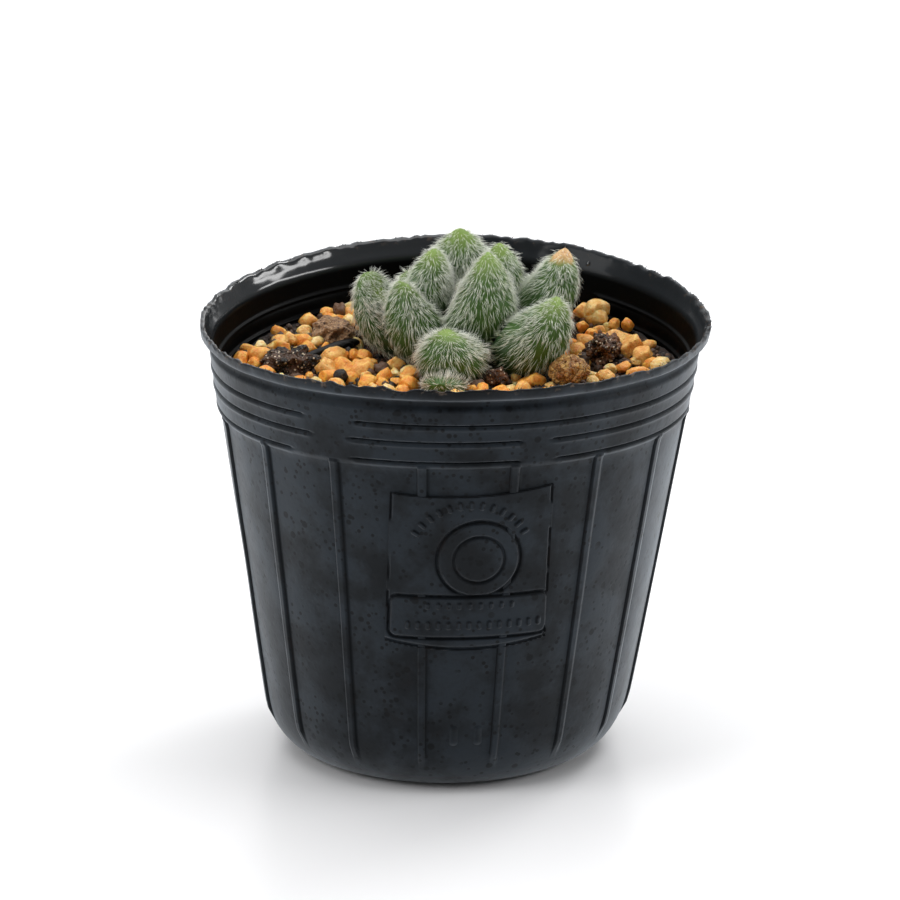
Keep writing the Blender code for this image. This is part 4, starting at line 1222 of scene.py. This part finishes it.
# Clods and pebbles between them: across, into the pot, half size, lift and tint from black 0 to brown 1
SEEN_CLODS = (
    (-22.5, 4.2, 0.65, 0.5, 0.6), (-18.5, 12.5, 0.7, 0.5, 0.1), (-17.3, 13.5, 0.55, 0.5, 0.5),
    (-16.4, 13.2, 0.7, 0.5, 0.7), (-13.8, 20.9, 0.95, 0.7, 0.85), (-18.7, 0.7, 0.75, 0.5, 0.6),
    (-17.5, 0.3, 0.5, 0.5, 0.8), (-13.3, -2.0, 0.7, 1.6, 0.0), (-8.7, 0.7, 0.85, 0.5, 0.6),
    (-10.9, -2.9, 0.6, 0.5, 0.15), (-7.4, -3.8, 0.5, 0.5, 0.0), (15.4, 5.6, 0.85, 1.0, 0.3),
    (2.8, -6.0, 0.85, 0.5, 0.6), (-25.6, 7.3, 0.4, 0.5, 0.8), (17.2, 4.3, 0.6, 0.5, 0.3),
    (18.7, 1.9, 0.55, 0.5, 0.5), (3.6, -2.8, 0.8, 0.5, 0.3), (12.2, -1.8, 0.7, 0.5, 0.2),
    (-22.0, -1.5, 0.6, 0.5, 0.3), (6.0, -5.6, 0.6, 0.5, 0.5),
)


def rest(x, y, lift):
    """The middle of a piece that lies on the soil, lifted by its half height, after the pot has settled."""
    place = np.array([x, y, float(soil_height(np.array(x), np.array(y))) + lift])
    return settle(place)


def lay_grains(leaf_points, draw):
    """The places of all grains: those placed one by one, then random ones where there is room.

    A random grain stays off the leaves' feet, the lumps and every other grain. Most lie at the back and the
    front.
    """
    low = leaf_points[leaf_points[:, 2] < 48.5][:, :2]
    grains = list(SEEN_GRAINS)
    for _ in range(GRAIN_TRIES):
        radius = draw.triangular(0.45, 0.75, 1.15)
        reach, turn = 25.6 * math.sqrt(draw.random()), draw.uniform(0, math.tau)
        x, y = reach * math.cos(turn), reach * math.sin(turn)
        hidden = y < -5.5 - 0.08 * abs(x) or y > max(17 + 0.15 * x, 19 - 0.9 * (x + 14), 16)
        if not hidden and draw.random() > 0.08:
            continue
        if np.min(np.hypot(low[:, 0] - x, low[:, 1] - y)) < 0.9 * radius:
            continue
        if any(np.hypot((x - a) / (c + radius), (y - b) / (d + radius)) < 0.85 for a, b, c, d in LUMP_GROUND):
            continue
        if any(math.hypot(x - g[0], y - g[1]) < 0.95 * (radius + g[2]) for g in grains):
            continue
        tint = float(draw.choice([0.05, 0.15, 0.3, 0.9], p=[0.4, 0.3, 0.15, 0.15]))
        grains.append((x, y, radius, tint, 0.0))
    return grains


def make_gravel(leaf_points, finish):
    """The pumice top dressing: one piece for each patch, of single grains that lie on the soil.

    A grain belongs to the patch whose middle is nearest. The random grains have fewer faces.
    """
    draw = np.random.default_rng(12)
    fine, plain = geodesic(4), geodesic(2)
    patches = {name: [] for name in GRAVEL_PATCHES}
    for number, (x, y, radius, tint, lift) in enumerate(lay_grains(leaf_points, draw)):
        name = min(GRAVEL_PATCHES, key=lambda patch: math.dist((x, y), GRAVEL_PATCHES[patch]))
        globe, faces = fine if number < len(SEEN_GRAINS) else plain
        shape = angular_grain(globe, draw) * radius * 1.42
        shape += shape * 0.08 * rough_noise(shape + (x, y, 0), 0.6, 2, 41)[:, None]
        patches[name].append((shape + rest(x, y, 0.62 * radius + lift), faces, tint))
    for name, grains in patches.items():
        starts = np.cumsum([0] + [len(shape) for shape, _, _ in grains])
        triangles = np.vstack([faces + start for (_, faces, _), start in zip(grains, starts)])
        tints = np.concatenate([np.full(len(shape), tint) for shape, _, tint in grains])
        points = np.vstack([shape for shape, _, _ in grains])
        marks = {"tint": tints}
        piece(f"{name}_grains", points, finish, triangles=triangles, nodes=[name], marks=marks)


# Lumps: place across and into the pot, half sizes, turn in degrees, lift as a share, noise size and height,
# and finish
LUMPS = {
    "bark_left": ((-19.3, 3.4), (2.9, 2.0, 1.7), 10, 0.9, 1.2, 0.42, "bark_black"),
    "bark_strip": ((-15.0, 8.3), (4.9, 0.9, 0.75), 46, 1.5, 1.4, 0.16, "strip"),
    "soil_lump_left": ((-14.4, 14.0), (2.3, 3.4, 1.6), 6, 0.75, 1.3, 0.34, "clod"),
    "bark_right": ((17.8, 7.4), (1.9, 3.3, 1.7), -8, 0.8, 1.2, 0.42, "bark_red"),
    "porous_stone": ((13.4, -3.5), (2.2, 1.8, 1.75), 0, 1.05, 1.0, 0.21, "porous"),
    "bark_front": ((4.9, -4.7), (1.3, 1.2, 1.1), 0, 1.5, 0.9, 0.4, "bark_red"),
}
LUMP_GROUND = tuple((*place, *half[:2]) for place, half, *_ in LUMPS.values())


def make_lumps(finishes):
    """Bark, clod and porous stone: balls swollen by rough noise, scaled to their half sizes."""
    for name, (place, half, turn, share, size, depth, kind) in LUMPS.items():
        globe, faces = geodesic(5 if name == "bark_front" else 6)
        half = np.array(half)
        spin = np.array(Matrix.Rotation(math.radians(turn), 3, "Z"))
        body = globe * half
        swell = 1 + depth * rough_noise(body + (*place, 0), size, 4, 51)
        if kind == "strip":
            body[:, 1:] *= 0.8 + 0.45 * globe[:, :1]
        if kind == "porous":
            swell -= 0.12 * smooth(cloudy(body, 0.45, 57), 0.2, 0.5)
        points = (body * swell[:, None]) @ spin.T + rest(*place, share * half[2])
        piece(f"{name}_rough", points, finishes[kind], triangles=faces, nodes=[name])


def tinted(name, shapes, faces, tints, finish):
    """One piece of soil bits, each with a tint of its own."""
    points, triangles = merged(shapes, faces)
    marks = {"tint": np.repeat(tints, len(shapes[0]))}
    piece(name, points, finish, triangles=triangles, marks=marks)


def make_crumbs(finish):
    """Small crumbs of soil, strewn over the root ball and between the grains."""
    draw = np.random.default_rng(23)
    globe, faces = geodesic(1)
    shapes, tints = [], []
    for _ in range(CRUMBS):
        reach, turn = 25.9 * math.sqrt(draw.random()), draw.uniform(0, math.tau)
        x, y = reach * math.cos(turn), reach * math.sin(turn)
        radius = 0.17 + 0.45 * draw.random() ** 3
        shape = globe * draw.uniform(0.7, 1.2, (len(globe), 1)) * radius
        shapes.append(shape + rest(x, y, 0.5 * radius))
        tints.append(draw.random() ** 2)
    tinted("soil_crumbs", shapes, faces, tints, finish)


def make_clods(finish):
    """The larger clods and pebbles: balls swollen by rough noise."""
    globe, faces = geodesic(4)
    shapes = []
    for x, y, half, lift, _ in SEEN_CLODS:
        swell = 1.1 + 0.4 * rough_noise(globe * half + (x, y, 0), 0.9, 3, 61)
        shapes.append(globe * half * swell[:, None] + rest(x, y, lift * half))
    tinted("soil_clods", shapes, faces, [clod[-1] for clod in SEEN_CLODS], finish)


def make_burrs(finish):
    """Frayed threads on the cut rim: thin bent spikes, with three long ones side by side at the right."""
    draw = np.random.default_rng(9)
    azimuth = draw.uniform(-math.pi, math.pi, BURRS)
    azimuth[:3] = np.radians([87.0, 89.0, 84.0])
    length = draw.uniform(0.12, 0.5, BURRS)[:, None]
    length[:3] = [[0.9], [0.7], [0.6]]
    root = settle(round_wall(azimuth, draw.uniform(29.5, 29.95, BURRS), 52.3))
    outward = round_wall(azimuth, 1.0, 0.0)
    out = unit(np.array([0, 0, 0.8]) + 0.5 * outward + 0.5 * draw.standard_normal((BURRS, 3)))
    middle = root + 0.55 * length * out
    tip = middle + 0.5 * length * unit(out + 0.9 * draw.standard_normal((BURRS, 3)))
    rings = ((root, 0.06), (middle, 0.04))
    points, quads, triangles = spikes(rings, tip, out, draw.standard_normal((BURRS, 3)))
    piece("rim_burrs", points, finish, quads, triangles)


def make_drops(finish):
    """A few small water drops on the inside of the lip."""
    globe, quads, triangles = ball(12, 16)
    shapes = []
    for azimuth, height, radius in DROPS:
        spot = round_wall(np.radians(azimuth), 28.75 + 0.3 * (height - 50.5), height)
        shapes.append(globe * radius + settle(spot))
    points, quads, triangles = merged(shapes, quads, triangles)
    piece("water_drops", points, finish, quads, triangles)


def make_table(finish):
    """The floor: one large pale disc."""
    shape = bmesh.new()
    bmesh.ops.create_circle(shape, cap_ends=True, segments=96, radius=4.0)
    mesh = bpy.data.meshes.new("table")
    shape.to_mesh(mesh)
    shape.free()
    mesh.materials.append(finish)
    table = bpy.data.objects.new("table", mesh)
    bpy.context.scene.collection.objects.link(table)


def make_lamp(name, place, size, brightness, target):
    """A soft box of a width and a height that faces a target, as bright as asked for each square metre."""
    light = bpy.data.lights.new(name, "AREA")
    light.shape = "RECTANGLE"
    light.size, light.size_y = size
    light.energy = brightness * math.pi * size[0] * size[1]
    lamp = bpy.data.objects.new(name, light)
    lamp.location = place
    lamp.rotation_euler = (Vector(target) - Vector(place)).to_track_quat("-Z", "Y").to_euler()
    bpy.context.scene.collection.objects.link(lamp)


def make_studio():
    """A dim room with a wide soft box overhead, a bright backdrop, and lamps that throw two faint shadows."""
    world = bpy.data.worlds.new("studio")
    world.use_nodes = True
    shade = world.node_tree.nodes["Background"]
    shade.inputs[0].default_value = (1.0, 1.0, 1.0, 1.0)
    shade.inputs[1].default_value = ROOM_LIGHT
    bpy.context.scene.world = world
    bpy.context.scene.view_settings.view_transform = "Standard"
    for name, lamp in LAMPS.items():
        make_lamp(name, *lamp)


def make_camera():
    """The camera: its lens is the sensor's width times its distance, over the width of the view."""
    camera = bpy.data.cameras.new("camera")
    view = bpy.data.objects.new("camera", camera)
    bpy.context.scene.collection.objects.link(view)
    camera.sensor_width = SENSOR_WIDTH
    camera.lens = PIXELS_TO_MM * CAMERA_DISTANCE / PICTURE_PIXELS * SENSOR_WIDTH
    camera.clip_start = 0.01
    back = Vector((0.0, -math.cos(CAMERA_DOWN), math.sin(CAMERA_DOWN)))
    view.location = (Vector(CAMERA_AIM) + CAMERA_DISTANCE * back) * MM
    view.rotation_euler = (math.pi / 2 - CAMERA_DOWN, 0.0, 0.0)
    bpy.context.scene.camera = view


def main():
    """Dresses the part."""
    plastic = pot_finish()
    make_pot(plastic)
    wall_sheet("label_panel", PANEL_WIDTH + 0.2, 18.7, 40.1, label_relief, plastic, 0.1)
    wall_sheet("mould_studs", 6.2, 5.7, 10.1, mark_relief, plastic, 0.12)
    make_burrs(burr_finish())
    make_drops(drop_finish())
    make_soil(soil_finish())
    leaf_points = make_plant(leaf_finish(), hair_finish())
    make_gravel(leaf_points, pumice_finish())
    make_lumps({
        "bark_black": bark_finish("bark_black", (0.005, 0.003, 0.002), (0.08, 0.038, 0.02)),
        "bark_red": bark_finish("bark_red", (0.024, 0.008, 0.003), (0.15, 0.06, 0.02)),
        "strip": strip_finish(), "clod": clod_finish(), "porous": porous_finish(),
    })
    crumb = crumb_finish()
    make_crumbs(crumb)
    make_clods(crumb)
    frame["nodes"]["stem"].data.materials[0] = stem_finish()
    make_table(floor_finish())
    make_studio()
    make_camera()


main()
